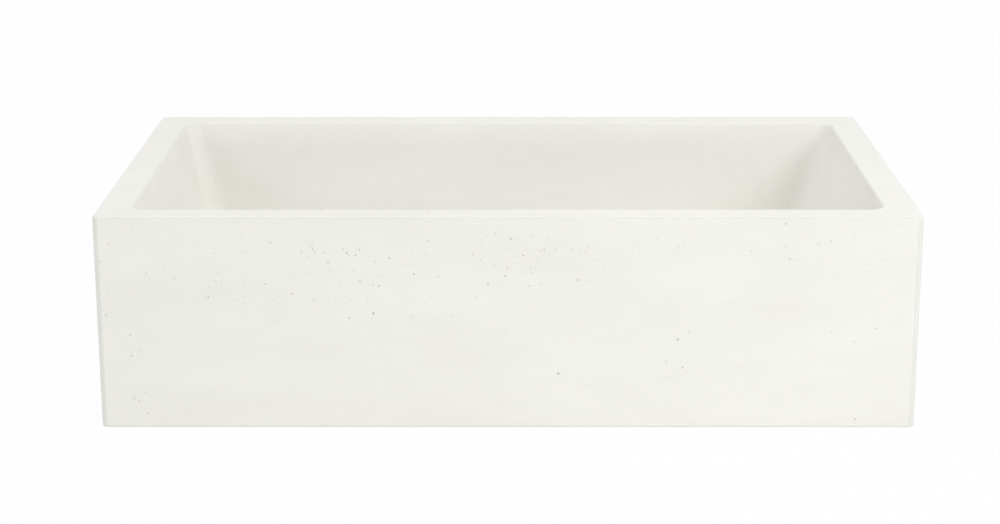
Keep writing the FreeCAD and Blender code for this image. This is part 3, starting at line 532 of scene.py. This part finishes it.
def cell_foam():
    """Closed-cell polyethylene foam: pale grey, matt, with its cells cut open at the surface."""
    material, tree, shader = new_material("polyethylene_foam", IOR=1.5, Roughness=0.9)
    place = add(tree, "TexCoord").outputs["Object"]
    cells = add(tree, "TexVoronoi", {"Vector": place, "Scale": per_metre(0.6)})
    tone = add(tree, "Mix", {
        "Factor": cells.outputs["Distance"], MIX_FROM: colour("#b4b4b0"), MIX_TO: colour("#d6d6d2"),
    }, data_type="RGBA")
    bump = add(tree, "Bump", {"Height": cells.outputs["Distance"], "Strength": 0.5, "Distance": 0.1 * MM})
    feed(tree, shader, Base_Color=tone.outputs[MIX_OUT], Normal=bump.outputs[0])
    return material


def spring_steel():
    """Drawn stainless spring wire: grey, with die lines along the wire."""
    material, tree, shader = new_material("drawn_spring_steel", Metallic=1.0)
    lines = turning_marks(tree, 0.09)
    tone = add(tree, "Mix", {
        "Factor": lines, MIX_FROM: colour("#a9adb0"), MIX_TO: colour("#c9ccce"),
    }, data_type="RGBA")
    rough = add(tree, "MapRange", {"Value": lines, "To Min": 0.2, "To Max": 0.38})
    feed(tree, shader, Base_Color=tone.outputs[MIX_OUT], Roughness=rough.outputs[0])
    return material


concrete = white_concrete("white_cast_concrete", "#e9e8e2", "#eeede8")
# The rounded edges and upright corners get copies of the concrete a little darker: painted shade that keeps
# their roundings from showing a bright line of light. The inner rim edge gets a milder share.
shaded_edge = white_concrete("concrete_edge_painted_shade", "#e1e0da", "#e6e5e0")
lightly_shaded_edge = white_concrete("concrete_edge_light_painted_shade", "#e5e4de", "#eae9e4")
shaded_pore = pinhole_shade_concrete()
trough_materials = [concrete, shaded_pore, shaded_edge, lightly_shaded_edge]
chrome, brass, foam, wire_steel = chrome_plate(), turned_brass(), cell_foam(), spring_steel()
rubber = moulded("moulded_rubber", "#141416", "#242427", roughness=0.62, grain=0.5, depth=0.04, ior=1.52)
white_plastic = moulded("white_acetal", "#dcdbd5", "#e6e5e0", roughness=0.42, grain=0.4, depth=0.02, ior=1.48)
dark_plastic = moulded("black_acetal", "#2b2b2d", "#3a3a3d", roughness=0.45, grain=0.4, depth=0.02, ior=1.48)


# The cast trough

Ring = namedtuple("Ring", "half_width half_depth corner level")


def circle_ring(radius, level):
    """A ring that is all corner."""
    return Ring(radius, radius, radius, level)


def on_ring(at, ring):
    """Whether a point lies on a rectangle with round corners."""
    x = abs(at.x) - ring.half_width + ring.corner
    y = abs(at.y) - ring.half_depth + ring.corner
    reach = math.hypot(max(x, 0), max(y, 0)) + min(max(x, y), 0)
    return abs(at.z - ring.level) < NEAR and abs(reach - ring.corner) < NEAR


def add_ring(ring):
    """Adds the outline of a rectangle with round corners to the open piece."""
    middle = (0, 0, ring.level)
    bpy.ops.mesh.select_all(action="DESELECT")
    bpy.ops.mesh.primitive_plane_add(size=2, location=middle)
    bpy.ops.transform.resize(value=(ring.half_width, ring.half_depth, 1), center_override=middle)
    bpy.ops.mesh.bevel(affect="VERTICES", offset=ring.corner, segments=CORNER_STEPS)
    bpy.ops.mesh.delete(type="ONLY_FACE")


def round_ring(ring, radius, turn, material):
    """Rounds the edge along a ring where two faces meet that turn by an angle."""
    width = radius * math.tan(turn / 2)
    number = trough_materials.index(material)
    pick(lambda at: on_ring(at, ring), "EDGE")
    bpy.ops.mesh.bevel(affect="EDGES", offset=width, segments=EDGE_STEPS, material=number)


def divide(axis, reach):
    """Divides the open piece into strips across an axis, so that no face is too large to cut cleanly."""
    for n in range(-int(reach / CELL), int(reach / CELL) + 1):
        bpy.ops.mesh.select_all(action="SELECT")
        bpy.ops.mesh.bisect(plane_co=Vector(axis) * n * CELL, plane_no=axis)


def cast_trough():
    """Bridges rings from the waste hole over the foot, the outside, the rim and the bowl back to the hole."""
    half_width, half_depth = WIDTH / 2, DEPTH / 2
    drain = SEAT + SEAT_DEPTH
    floor = drain + FLOOR_FALL
    lean = (HEIGHT - floor) * math.tan(WALL_LEAN)
    narrow = RECESS_TOP * math.tan(FOOT_LEAN)
    bowl_width, bowl_depth = half_width - RIM_WIDTH, half_depth - RIM_WIDTH
    foot_width, foot_depth = half_width - FOOT_WIDTH, half_depth - FOOT_WIDTH
    ceiling = Ring(foot_width - narrow, foot_depth - narrow, RECESS_CORNER - narrow, RECESS_TOP)
    base = Ring(half_width, half_depth, OUTER_CORNER, 0)
    rim_outside = base._replace(level=HEIGHT)
    rim_inside = Ring(bowl_width, bowl_depth, RIM_CORNER, HEIGHT)
    floor_edge = Ring(bowl_width - lean, bowl_depth - lean, FLOOR_CORNER, floor)
    rings = [
        circle_ring(WASTE_HOLE / 2, RECESS_TOP),
        ceiling,
        Ring(foot_width, foot_depth, RECESS_CORNER, 0),
        base,
        rim_outside,
        rim_inside,
        floor_edge,
        Ring(DRAIN_PATCH / 2, DRAIN_PATCH / 2, DRAIN_CORNER, drain),
        circle_ring(SEAT_DIAMETER / 2, drain),
        circle_ring(SEAT_DIAMETER / 2, SEAT),
        circle_ring(WASTE_HOLE / 2, SEAT),
    ]
    piece = begin("concrete_trough")
    for material in trough_materials:
        piece.data.materials.append(material)
    for ring in rings:
        add_ring(ring)
    for ring, following in zip(rings, rings[1:] + rings[:1]):
        pick(lambda at: on_ring(at, ring) or on_ring(at, following))
        bpy.ops.mesh.bridge_edge_loops()
    square = math.pi / 2
    round_ring(ceiling, RECESS_COVE, square - FOOT_LEAN, concrete)
    round_ring(base, BASE_EDGE, square, concrete)
    # The rim's outer rounding takes the full painted edge shade, its inner rounding a milder one.
    round_ring(rim_outside, RIM_OUTER_EDGE, square, shaded_edge)
    round_ring(rim_inside, RIM_INNER_EDGE, square - WALL_LEAN, lightly_shaded_edge)
    round_ring(floor_edge, FLOOR_COVE, square - WALL_LEAN, concrete)
    for axis, reach in (((1, 0, 0), half_width), ((0, 1, 0), half_depth), ((0, 0, 1), HEIGHT)):
        divide(axis, reach)
    close()
    return piece


def shade_corners(piece):
    """Gives the faces round the four upright corners the painted edge shade of the rim's outer edge."""
    for face in piece.data.polygons:
        inside = max(WIDTH / 2 - abs(face.center.x), DEPTH / 2 - abs(face.center.y))
        if inside < OUTER_CORNER:
            face.material_index = trough_materials.index(shaded_edge)


# Pinholes, where air bubbles lay against the mould

# Clouds of pinholes on a face: middle and spread, across and up in millimetres, and how many
FRONT_CLOUDS = [
    ((-205, 129), (50, 13), 36),
    ((-128, 129), (15, 8), 22),
    ((-92, 126), (15, 9), 22),
    ((-55, 128), (45, 14), 28),
    ((15, 131), (18, 10), 32),
    ((52, 128), (16, 9), 16),
    ((125, 138), (22, 9), 18),
    ((225, 136), (32, 11), 16),
    ((-225, 106), (45, 12), 24),
    ((-115, 106), (50, 12), 20),
    ((15, 107), (45, 10), 18),
    ((-272, 58), (10, 20), 15),
    ((-272, 18), (8, 8), 4),
    ((120, 62), (30, 12), 6),
    ((262, 66), (14, 24), 10),
    ((0, 40), (180, 16), 5),
]
# The largest pinholes of the front face: across, up and radius
FRONT_LARGE = [
    (-98, 88, 1.15), (37, 42, 1.1), (124, 68, 1.1), (116, 51, 0.8), (-157, 103, 0.9),
    (-266, 11, 0.8), (204, 129, 0.85), (224, 140, 0.8), (-262, 118, 0.75), (-110, 132, 0.9),
]
BACK_CLOUDS = [((-120, 110), (90, 28), 55), ((140, 95), (80, 34), 42), ((0, 60), (180, 40), 20)]
SIDE_CLOUDS = [((-50, 115), (55, 25), 30), ((70, 80), (55, 38), 24)]
RIM_CLOUDS = [((0, -162), (170, 5), 18), ((0, 162), (170, 5), 18)]
# The other pinholes: common radius with its spread and limits, and the bare margin of a face, in millimetres
PORE_RADIUS = 0.5
PORE_SPREAD = 0.36
PORE_LEAST = 0.3
PORE_MOST = 0.9
PORE_MARGIN = 4
# Depth of the widest, least width of an oval one, and how far two stay apart, as shares of a radius
PORE_DEPTH = 0.6
OVAL_LEAST = 0.75
PORE_APART = 1.25
PORE_SEED = 7
# The bubble that is cut out, for a pinhole of radius 1: the ball's radius, its dents and its steep wall
BUBBLE_REACH = 1.07
BUBBLE_DENT = 0.1
BUBBLE_SEED = 3
BUBBLE_WALL = 0.25


def scatter(draw, clouds, half_across, low, high):
    """Draws pinholes in clouds on a face, inside its edges."""
    pores = []
    for middle, spread, count in clouds:
        for _ in range(count):
            across, up = [draw.gauss(m, s) for m, s in zip(middle, spread)]
            radius = PORE_RADIUS * math.exp(draw.gauss(0, PORE_SPREAD))
            if abs(across) < half_across - PORE_MARGIN and low + PORE_MARGIN < up < high - PORE_MARGIN:
                pores.append((across, up, min(max(radius, PORE_LEAST), PORE_MOST)))
    return pores


def apart(pores):
    """Leaves out the pinholes that run into an earlier one."""
    kept = []
    for pore in pores:
        if all(math.dist(pore[:2], other[:2]) > PORE_APART * (pore[2] + other[2]) for other in kept):
            kept.append(pore)
    return kept


def dented_bubble():
    """A dented ball that lies half in a face at level 0."""
    piece = begin("bubble")
    bpy.ops.mesh.primitive_ico_sphere_add(subdivisions=2, radius=BUBBLE_REACH)
    bpy.ops.transform.vertex_random(offset=BUBBLE_DENT, seed=BUBBLE_SEED)
    # The outer half is drawn out of the face, so that the bubble's wall crosses the face steeply.
    pick(lambda at: at.z > -BUBBLE_WALL)
    bpy.ops.transform.translate(value=(0, 0, 2 * BUBBLE_WALL))
    close()
    return piece


def pinhole_tool():
    """One tool with the bubbles of every face, each flattened against its face."""
    master = dented_bubble()
    half_width, half_depth = WIDTH / 2, DEPTH / 2
    across, along, up = Vector((1, 0, 0)), Vector((0, 1, 0)), Vector((0, 0, 1))
    # Each face: its ways right and up, origin, clouds, half width, lower and upper line, large pinholes
    faces = [
        (across, up, -along * half_depth, FRONT_CLOUDS, half_width, 0, HEIGHT, FRONT_LARGE),
        (-across, up, along * half_depth, BACK_CLOUDS, half_width, 0, HEIGHT, []),
        (along, up, across * half_width, SIDE_CLOUDS, half_depth, 0, HEIGHT, []),
        (-along, up, -across * half_width, SIDE_CLOUDS, half_depth, 0, HEIGHT, []),
        (across, along, up * HEIGHT, RIM_CLOUDS, half_width, -half_depth, half_depth, []),
    ]
    draw = random.Random(PORE_SEED)
    copies = []
    for right, rise, origin, clouds, half, low, high, large in faces:
        stand = Matrix((right, rise, right.cross(rise))).transposed().to_4x4()
        for x, y, radius in apart(large + scatter(draw, clouds, half, low, high)):
            spin = Euler((0, 0, draw.uniform(0, 2 * math.pi))).to_matrix().to_4x4()
            oval = draw.uniform(OVAL_LEAST, 1.0)
            depth = PORE_DEPTH * radius * radius / PORE_MOST
            shape = Matrix.Diagonal((radius, radius * oval, depth, 1))
            bubble = master.copy()
            bubble.data = master.data.copy()
            bubble.data.transform(Matrix.Translation(origin + right * x + rise * y) @ stand @ spin @ shape)
            bpy.context.collection.objects.link(bubble)
            copies.append(bubble)
    bpy.data.objects.remove(master)
    select_only(copies[0])
    for bubble in copies:
        bubble.select_set(True)
    bpy.ops.object.join()
    return copies[0]


def make_trough():
    """The cast block, with painted shade on its rounded edges and corners and its pinholes open."""
    piece = cast_trough()
    shade_corners(piece)
    tool = pinhole_tool()
    for material in trough_materials:
        tool.data.materials.append(material)
    # The bubbles' faces take the pinhole material, whose darker tone is painted shade.
    for face in tool.data.polygons:
        face.material_index = trough_materials.index(shaded_pore)
    combine(piece, tool, merge=NEAR)
    finish(piece, "basin_body", "basin")


# The waste's fixed pieces

def make_waste_fitting():
    """Flange, threaded tail and four-armed hub, which are one casting."""
    relief = NUT_BOTTOM - RELIEF_WIDTH
    groove = TAIL_RADIUS - RELIEF_DEPTH
    piece = turned("waste_fitting", [
        (TAIL_BORE, TAIL_END),
        (TAIL_RADIUS - TAIL_CHAMFER, TAIL_END),
        (TAIL_RADIUS, TAIL_END + TAIL_CHAMFER),
        (TAIL_RADIUS, relief),
        (groove, relief),
        (groove, NUT_BOTTOM),
        (TAIL_RADIUS, NUT_BOTTOM),
        (TAIL_RADIUS, FLANGE_BOTTOM),
        (FLANGE_RADIUS, FLANGE_BOTTOM, CAST_EDGE / 2),
        (FLANGE_RADIUS, FLANGE_TOP, FLANGE_EDGE),
        (MOUTH_RADIUS, FLANGE_TOP, MOUTH_EDGE),
        (TAIL_BORE, CONE_BOTTOM, MOUTH_EDGE / 2),
    ])
    cut_thread(piece, TAIL_RADIUS, PIPE_PITCH, PIPE_DEPTH, TAIL_END - PIPE_PITCH, THREAD_END)
    arm_length = TAIL_BORE + TAIL_RADIUS
    middle = (0, 0, (HUB_TOP + HUB_BOTTOM) / 2)
    for angle in (0, math.pi / 2):
        arm = block("arm", (arm_length, ARM_WIDTH, HUB_HEIGHT), middle, angle)
        soften(arm, CAST_EDGE)
        combine(piece, arm, "UNION")
    hub = turned("hub", [
        (0, HUB_BOTTOM), (HUB_RADIUS, HUB_BOTTOM, CAST_EDGE),
        (HUB_RADIUS, HUB_TOP, CAST_EDGE), (0, HUB_TOP),
    ])
    combine(piece, hub, "UNION")
    drill = turned("drill", [
        (0, HUB_BOTTOM - CAST_EDGE), (HUB_THREAD, HUB_BOTTOM - CAST_EDGE),
        (HUB_THREAD, HUB_TOP + CAST_EDGE), (0, HUB_TOP + CAST_EDGE),
    ])
    combine(piece, drill)
    finish(piece, "waste_body", "basin", chrome)


def make_rings():
    """The three rings round the tail: foam above the floor, then rubber and hard plastic below it."""
    gasket = turned("foam_gasket", [
        (RING_BORE, SEAT, EDGE_BREAK), (GASKET_RADIUS, SEAT, EDGE_BREAK),
        (GASKET_RADIUS, FLANGE_BOTTOM, EDGE_BREAK), (RING_BORE, FLANGE_BOTTOM, EDGE_BREAK),
    ])
    finish(gasket, "flange_gasket", "basin", foam)
    washer = turned("taper_seal", [
        (RING_BORE, WASHER_BOTTOM, EDGE_BREAK),
        (WASHER_RADIUS, WASHER_BOTTOM, 2 * EDGE_BREAK),
        (WASHER_RADIUS, RECESS_TOP, 2 * EDGE_BREAK),
        (NOSE_RADIUS, RECESS_TOP, EDGE_BREAK),
        (NOSE_RADIUS - NOSE_TAPER, NOSE_TOP, EDGE_BREAK / 2),
        (RING_BORE, NOSE_TOP),
    ])
    finish(washer, "taper_washer", "basin", rubber)
    slip = turned("slip_ring", [
        (RING_BORE, SLIP_BOTTOM, EDGE_BREAK), (SLIP_RADIUS, SLIP_BOTTOM, EDGE_BREAK),
        (SLIP_RADIUS, SLIP_TOP, EDGE_BREAK), (RING_BORE, SLIP_TOP, EDGE_BREAK),
    ])
    finish(slip, "slip_washer", "basin", white_plastic)


def hexagon_nut(name, reach, bottom, top, bore, lead):
    """A hexagon with its corners turned down at both ends and a lead-in at each end of its bore."""
    half_side = math.pi / 6
    slant = math.radians(30)
    flats = reach * math.cos(half_side)
    drop = (reach - flats) * math.tan(slant)
    middle = (0, 0, (bottom + top) / 2)
    piece = begin(name)
    bpy.ops.mesh.primitive_cylinder_add(vertices=6, radius=reach, depth=top - bottom, location=middle)
    bpy.ops.transform.rotate(value=half_side, orient_axis="Z", center_override=middle)
    close()
    shape = turned("nut_shape", [
        (bore + lead, bottom), (flats, bottom), (reach, bottom + drop),
        (reach, top - drop), (flats, top), (bore + lead, top), (bore, top - lead), (bore, bottom + lead),
    ])
    combine(piece, shape, "INTERSECT")
    return piece


def make_back_nut():
    """The large nut that draws the flange down from below."""
    piece = hexagon_nut("back_nut_brass", NUT_REACH, NUT_BOTTOM, NUT_TOP, NUT_BORE, NUT_LEAD)
    finish(piece, "back_nut", "basin", brass)


def make_barrel():
    """The sleeve that is screwed into the hub by two flats on its collar."""
    roof = BARREL_TOP - BARREL_MOUTH
    seal_level = BARREL_TOP - BARREL_MOUTH / 2
    groove = GUIDE_RADIUS + SEAL_GROOVE - RUNNING_CLEARANCE
    piece = turned("cartridge_sleeve", [
        (BARREL_BORE, BARREL_BOTTOM, EDGE_BREAK),
        (BARREL_THREAD, BARREL_BOTTOM, EDGE_BREAK),
        (BARREL_THREAD, HUB_TOP),
        (COLLAR_RADIUS, HUB_TOP, EDGE_BREAK),
        (COLLAR_RADIUS, HUB_TOP + COLLAR_HEIGHT, EDGE_BREAK),
        (SLEEVE_RADIUS, HUB_TOP + COLLAR_HEIGHT),
        (SLEEVE_RADIUS, BARREL_TOP, 2 * EDGE_BREAK),
        (GUIDE_RADIUS, BARREL_TOP, EDGE_BREAK),
        (GUIDE_RADIUS, seal_level + SEAL_GROOVE / 2),
        (groove, seal_level + SEAL_GROOVE / 2),
        (groove, seal_level - SEAL_GROOVE / 2),
        (GUIDE_RADIUS, seal_level - SEAL_GROOVE / 2),
        (GUIDE_RADIUS, roof),
        (BARREL_BORE, roof),
    ])
    thread_low, thread_high = BARREL_BOTTOM - BARREL_PITCH, HUB_TOP - BARREL_RUNOUT
    cut_thread(piece, BARREL_THREAD, BARREL_PITCH, BARREL_DEPTH, thread_low, thread_high)
    away = COLLAR_RADIUS - COLLAR_FLAT + COLLAR_RADIUS / 2
    for side in (-1, 1):
        place = (0, side * away, HUB_TOP + COLLAR_HEIGHT / 2)
        mill = block("mill", (3 * COLLAR_RADIUS, COLLAR_RADIUS, COLLAR_HEIGHT), place)
        combine(piece, mill)
    finish(piece, "cartridge_barrel", "basin", brass)


def make_end_plug():
    """The slotted screw that closes the barrel from below."""
    piece = turned("end_screw", [
        (0, END_PLUG_BOTTOM), (END_PLUG_RADIUS, END_PLUG_BOTTOM, EDGE_BREAK),
        (END_PLUG_RADIUS, END_PLUG_TOP, EDGE_BREAK), (0, END_PLUG_TOP),
    ])
    slot = block("slot", (3 * END_PLUG_RADIUS, SLOT_WIDTH, 2 * SLOT_DEPTH), (0, 0, END_PLUG_BOTTOM))
    combine(piece, slot)
    finish(piece, "end_plug", "basin", brass)


def make_spring():
    """The coil that lifts the plug; it is built at one length, though in use it shortens by the plug's
    travel.
    """
    low = END_PLUG_TOP + SPRING_GAP + WIRE / 2
    high = SPIGOT_BOTTOM + SPIGOT_HEIGHT - SPRING_GAP - WIRE / 2
    angles = [2 * math.pi * n / WIRE_SIDES for n in range(WIRE_SIDES)]
    section = [(SPRING_RADIUS + WIRE / 2 * math.cos(a), WIRE / 2 * math.sin(a)) for a in angles]
    piece = wound("coil_spring", section, (high - low) / SPRING_TURNS, low, SPRING_TURNS)
    finish(piece, "cartridge_spring", "basin", wire_steel, WIRE_ANGLE)
    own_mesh(piece)


# The plug, which moves

def dome(radius, shoulder, top):
    """Corners of a crown from its edge to the axis, on an arc whose middle is on the axis."""
    rise = top - shoulder
    ball = (radius * radius + rise * rise) / (2 * rise)
    half = math.asin(radius / ball)
    angles = [half * (1 - n / DOME_STEPS) for n in range(DOME_STEPS + 1)]
    return [(ball * math.sin(a), top - ball + ball * math.cos(a)) for a in angles]


def make_cover():
    """The domed cover that the hand pushes, pressed from sheet."""
    crown_foot = COVER_BOTTOM + COVER_SKIRT
    outside = dome(COVER_RADIUS, crown_foot, COVER_TOP)
    inside = dome(COVER_RADIUS - COVER_GAUGE, crown_foot - COVER_GAUGE, COVER_TOP - COVER_GAUGE)
    edge = [(*outside[0], COVER_EDGE)] + outside[1:]
    inner_edge = [(*inside[0], COVER_EDGE - COVER_GAUGE)] + inside[1:]
    lip = COVER_GAUGE / 3
    skirt = [(COVER_RADIUS - COVER_GAUGE, COVER_BOTTOM, lip), (COVER_RADIUS, COVER_BOTTOM, lip)]
    piece = turned("plug_dome", list(reversed(inner_edge)) + skirt + edge)
    finish(piece, "plug_cover", "plug", chrome)


def make_carrier():
    """The disc under the cover, with a boss for the stem and a lip that holds the seal."""
    hole_top = CARRIER_TOP - STEM_ROOF
    lip_bottom = SEAL_BOTTOM - LIP_THICKNESS
    piece = turned("plug_disc", [
        (0, hole_top),
        (STEM_HOLE, hole_top),
        (STEM_HOLE, BOSS_BOTTOM, EDGE_BREAK),
        (BOSS_RADIUS, BOSS_BOTTOM, 2 * EDGE_BREAK),
        (BOSS_RADIUS, lip_bottom, 2 * EDGE_BREAK),
        (LIP_RADIUS, lip_bottom, EDGE_BREAK),
        (LIP_RADIUS, SEAL_BOTTOM, EDGE_BREAK),
        (NECK_RADIUS, SEAL_BOTTOM),
        (NECK_RADIUS, COVER_BOTTOM),
        (CARRIER_RADIUS, COVER_BOTTOM, EDGE_BREAK),
        (CARRIER_RADIUS, CARRIER_TOP, EDGE_BREAK),
        (0, CARRIER_TOP),
    ])
    finish(piece, "plug_carrier", "plug", dark_plastic)


def make_plug_seal():
    """The ring that closes the waste, with a slope like the mouth's."""
    slope = (FLANGE_TOP - CONE_BOTTOM) / (MOUTH_RADIUS - TAIL_BORE)
    inner = NECK_RADIUS + RUNNING_CLEARANCE
    piece = turned("plug_gasket", [
        (inner, SEAL_BOTTOM, EDGE_BREAK),
        (TAIL_BORE, SEAL_BOTTOM, EDGE_BREAK),
        (SEAL_RADIUS, SEAL_BOTTOM + (SEAL_RADIUS - TAIL_BORE) * slope, EDGE_BREAK),
        (SEAL_RADIUS, SEAL_TOP, EDGE_BREAK / 2),
        (inner, SEAL_TOP, EDGE_BREAK / 2),
    ])
    finish(piece, "plug_seal", "plug", rubber)


def make_lock_nut():
    """The small nut that holds the carrier's height on the stem."""
    reach, bottom, top = LOCK_NUT_REACH, LOCK_NUT_BOTTOM, LOCK_NUT_TOP
    piece = hexagon_nut("lock_nut_brass", reach, bottom, top, STEM_HOLE, LOCK_NUT_LEAD)
    finish(piece, "lock_nut", "plug", brass)


def crown_tool(base, tip, angle):
    """A long bar with a three-cornered section, for one pair of crown teeth."""
    half = CROWN_WIDTH / 2
    reach = 2 * HEAD_RADIUS
    piece = begin("crown_bar")
    draw_outline([(-half, base), (half, base), (0, tip)])
    bpy.ops.mesh.select_all(action="SELECT")
    bpy.ops.mesh.edge_face_add()
    bpy.ops.transform.translate(value=(0, -reach, 0))
    bpy.ops.mesh.extrude_region_move(TRANSFORM_OT_translate={"value": (0, 2 * reach, 0)})
    bpy.ops.mesh.select_all(action="SELECT")
    bpy.ops.transform.rotate(value=angle, orient_axis="Z", center_override=(0, 0, 0))
    close()
    return piece


def make_stem():
    """The threaded stem and its head, whose crown of notches takes the cam's teeth."""
    piece = turned("push_rod", [
        (0, SOCKET_TOP),
        (SOCKET_RADIUS, SOCKET_TOP),
        (SOCKET_RADIUS, HEAD_BOTTOM),
        (HEAD_RADIUS, HEAD_BOTTOM),
        (HEAD_RADIUS, HEAD_TOP, STEM_EDGE),
        (STEM_RADIUS, HEAD_TOP),
        (STEM_RADIUS, STEM_TOP, 2 * STEM_EDGE),
        (0, STEM_TOP),
    ])
    cut_thread(piece, STEM_RADIUS, STEM_PITCH, STEM_DEPTH, LOCK_NUT_BOTTOM, STEM_TOP + STEM_PITCH)
    # The bars start just below the head, so that they cut its end cleanly.
    below = HEAD_BOTTOM - CROWN_DEPTH / 100
    for n in range(CROWN_TEETH // 2):
        combine(piece, crown_tool(below, HEAD_BOTTOM + CROWN_DEPTH, 2 * math.pi * n / CROWN_TEETH))
    finish(piece, "push_stem", "plug", brass)


def dress_kept_nodes():
    """Gives the CAD nodes whose shape is right as it is their material."""
    for node, material in (("stem_seal", rubber), ("index_cam", white_plastic)):
        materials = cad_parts[node].data.materials
        materials.clear()
        materials.append(material)


make_trough()
make_waste_fitting()
make_rings()
make_back_nut()
make_barrel()
make_end_plug()
make_spring()
make_cover()
make_carrier()
make_plug_seal()
make_lock_nut()
make_stem()
dress_kept_nodes()


# Camera, fitted to the corners of the rim and the base: millimetres, and angles written in degrees

CAMERA_PLACE = (1.7, -1744.0, 565.5)
CAMERA_PITCH, CAMERA_YAW, CAMERA_ROLL = [math.radians(a) for a in (15.620, 0.267, -0.078)]
FOCAL_LENGTH = 81.05
SENSOR_WIDTH = 36

bpy.ops.object.camera_add(location=[c * MM for c in CAMERA_PLACE])
camera = bpy.context.object
yaw = Matrix.Rotation(CAMERA_YAW, 3, "Z")
pitch = Matrix.Rotation(math.pi / 2 - CAMERA_PITCH, 3, "X")
roll = Matrix.Rotation(CAMERA_ROLL, 3, "Z")
camera.rotation_euler = (yaw @ pitch @ roll).to_euler()
camera.data.lens = FOCAL_LENGTH
camera.data.sensor_width = SENSOR_WIDTH
bpy.context.scene.camera = camera


# Stage and light

# How many times the opening under the waste the floor is wide, and how much of its seen tone is plain white
FLOOR_SPREAD = 25
FLOOR_GLOW = 0.96
# Even light, and soft boxes: name, place and size in metres, and watts, all turned towards one point
ROOM_LIGHT = 0.635
LAMP_AIM = (0, 0, 0.1)
LAMPS = [
    ("right", (1.25, -0.85, 1.28), 0.8, 10.6),
    ("left", (-2.6, -0.6, 1.75), 0.8, 15),
    ("above", (0, 0.2, 2.6), 1.8, 11.2),
    ("low_front", (0.4, -2.6, 0.17), 0.3, 10.1),
]


def seen_directly(tree):
    """One where a ray comes from the camera, a mirror or through glass, and nought elsewhere."""
    path = add(tree, "LightPath")
    straight = add(tree, "Math", {
        0: path.outputs["Is Camera Ray"], 1: path.outputs["Is Glossy Ray"],
    }, operation="ADD")
    return add(tree, "Math", {
        0: straight.outputs[0], 1: path.outputs["Is Transmission Ray"],
    }, operation="ADD", use_clamp=True).outputs[0]


def lay_floor():
    """A white worktop that fades into the background and keeps a faint shadow, cut out under the waste."""
    floor = begin("floor")
    middle = (0, 0, -NEAR)
    opening = (WIDTH / 2 - FOOT_WIDTH / 2, DEPTH / 2 - FOOT_WIDTH / 2, 1)
    bpy.ops.mesh.primitive_plane_add(size=2, location=middle)
    bpy.ops.transform.resize(value=opening, center_override=middle)
    bpy.ops.mesh.delete(type="ONLY_FACE")
    bpy.ops.mesh.select_all(action="SELECT")
    bpy.ops.mesh.extrude_edges_move()
    bpy.ops.transform.resize(value=(FLOOR_SPREAD, FLOOR_SPREAD, 1), center_override=middle)
    close()
    to_metres(floor)
    material, tree, shader = new_material("white_floor", Roughness=1.0)
    shader.inputs["Base Color"].default_value = colour("#e4e4e4")
    glow = add(tree, "Emission", {"Color": (1, 1, 1, 1), "Strength": 1.0})
    share = add(tree, "Math", {0: seen_directly(tree), 1: FLOOR_GLOW}, operation="MULTIPLY")
    mixed = add(tree, "MixShader", {0: share.outputs[0], 1: shader.outputs[0], 2: glow.outputs[0]})
    tree.links.new(mixed.outputs[0], tree.nodes["Material Output"].inputs["Surface"])
    floor.data.materials.append(material)


def hang_lamp(name, place, size, watts):
    """A soft box at a place, turned towards the basin."""
    bpy.ops.object.light_add(type="AREA", location=place)
    lamp = bpy.context.object
    lamp.name = name
    lamp.data.size = size
    lamp.data.energy = watts
    lamp.rotation_euler = (Vector(LAMP_AIM) - Vector(place)).to_track_quat("-Z", "Y").to_euler()


def light_world(strength):
    """Even light all round, and plain white where the background is seen."""
    world = bpy.data.worlds.new("studio")
    bpy.context.scene.world = world
    world.use_nodes = True
    tree = world.node_tree
    room = tree.nodes["Background"]
    room.inputs["Strength"].default_value = strength
    room.inputs["Color"].default_value = (1, 1, 1, 1)
    white = add(tree, "Background", {"Color": (1, 1, 1, 1), "Strength": 1.0})
    mixed = add(tree, "MixShader", {0: seen_directly(tree), 1: room.outputs[0], 2: white.outputs[0]})
    tree.links.new(mixed.outputs[0], tree.nodes["World Output"].inputs["Surface"])


lay_floor()
light_world(ROOM_LIGHT)
for name, place, size, watts in LAMPS:
    hang_lamp(name, place, size, watts)
bpy.context.scene.view_settings.view_transform = "Standard"
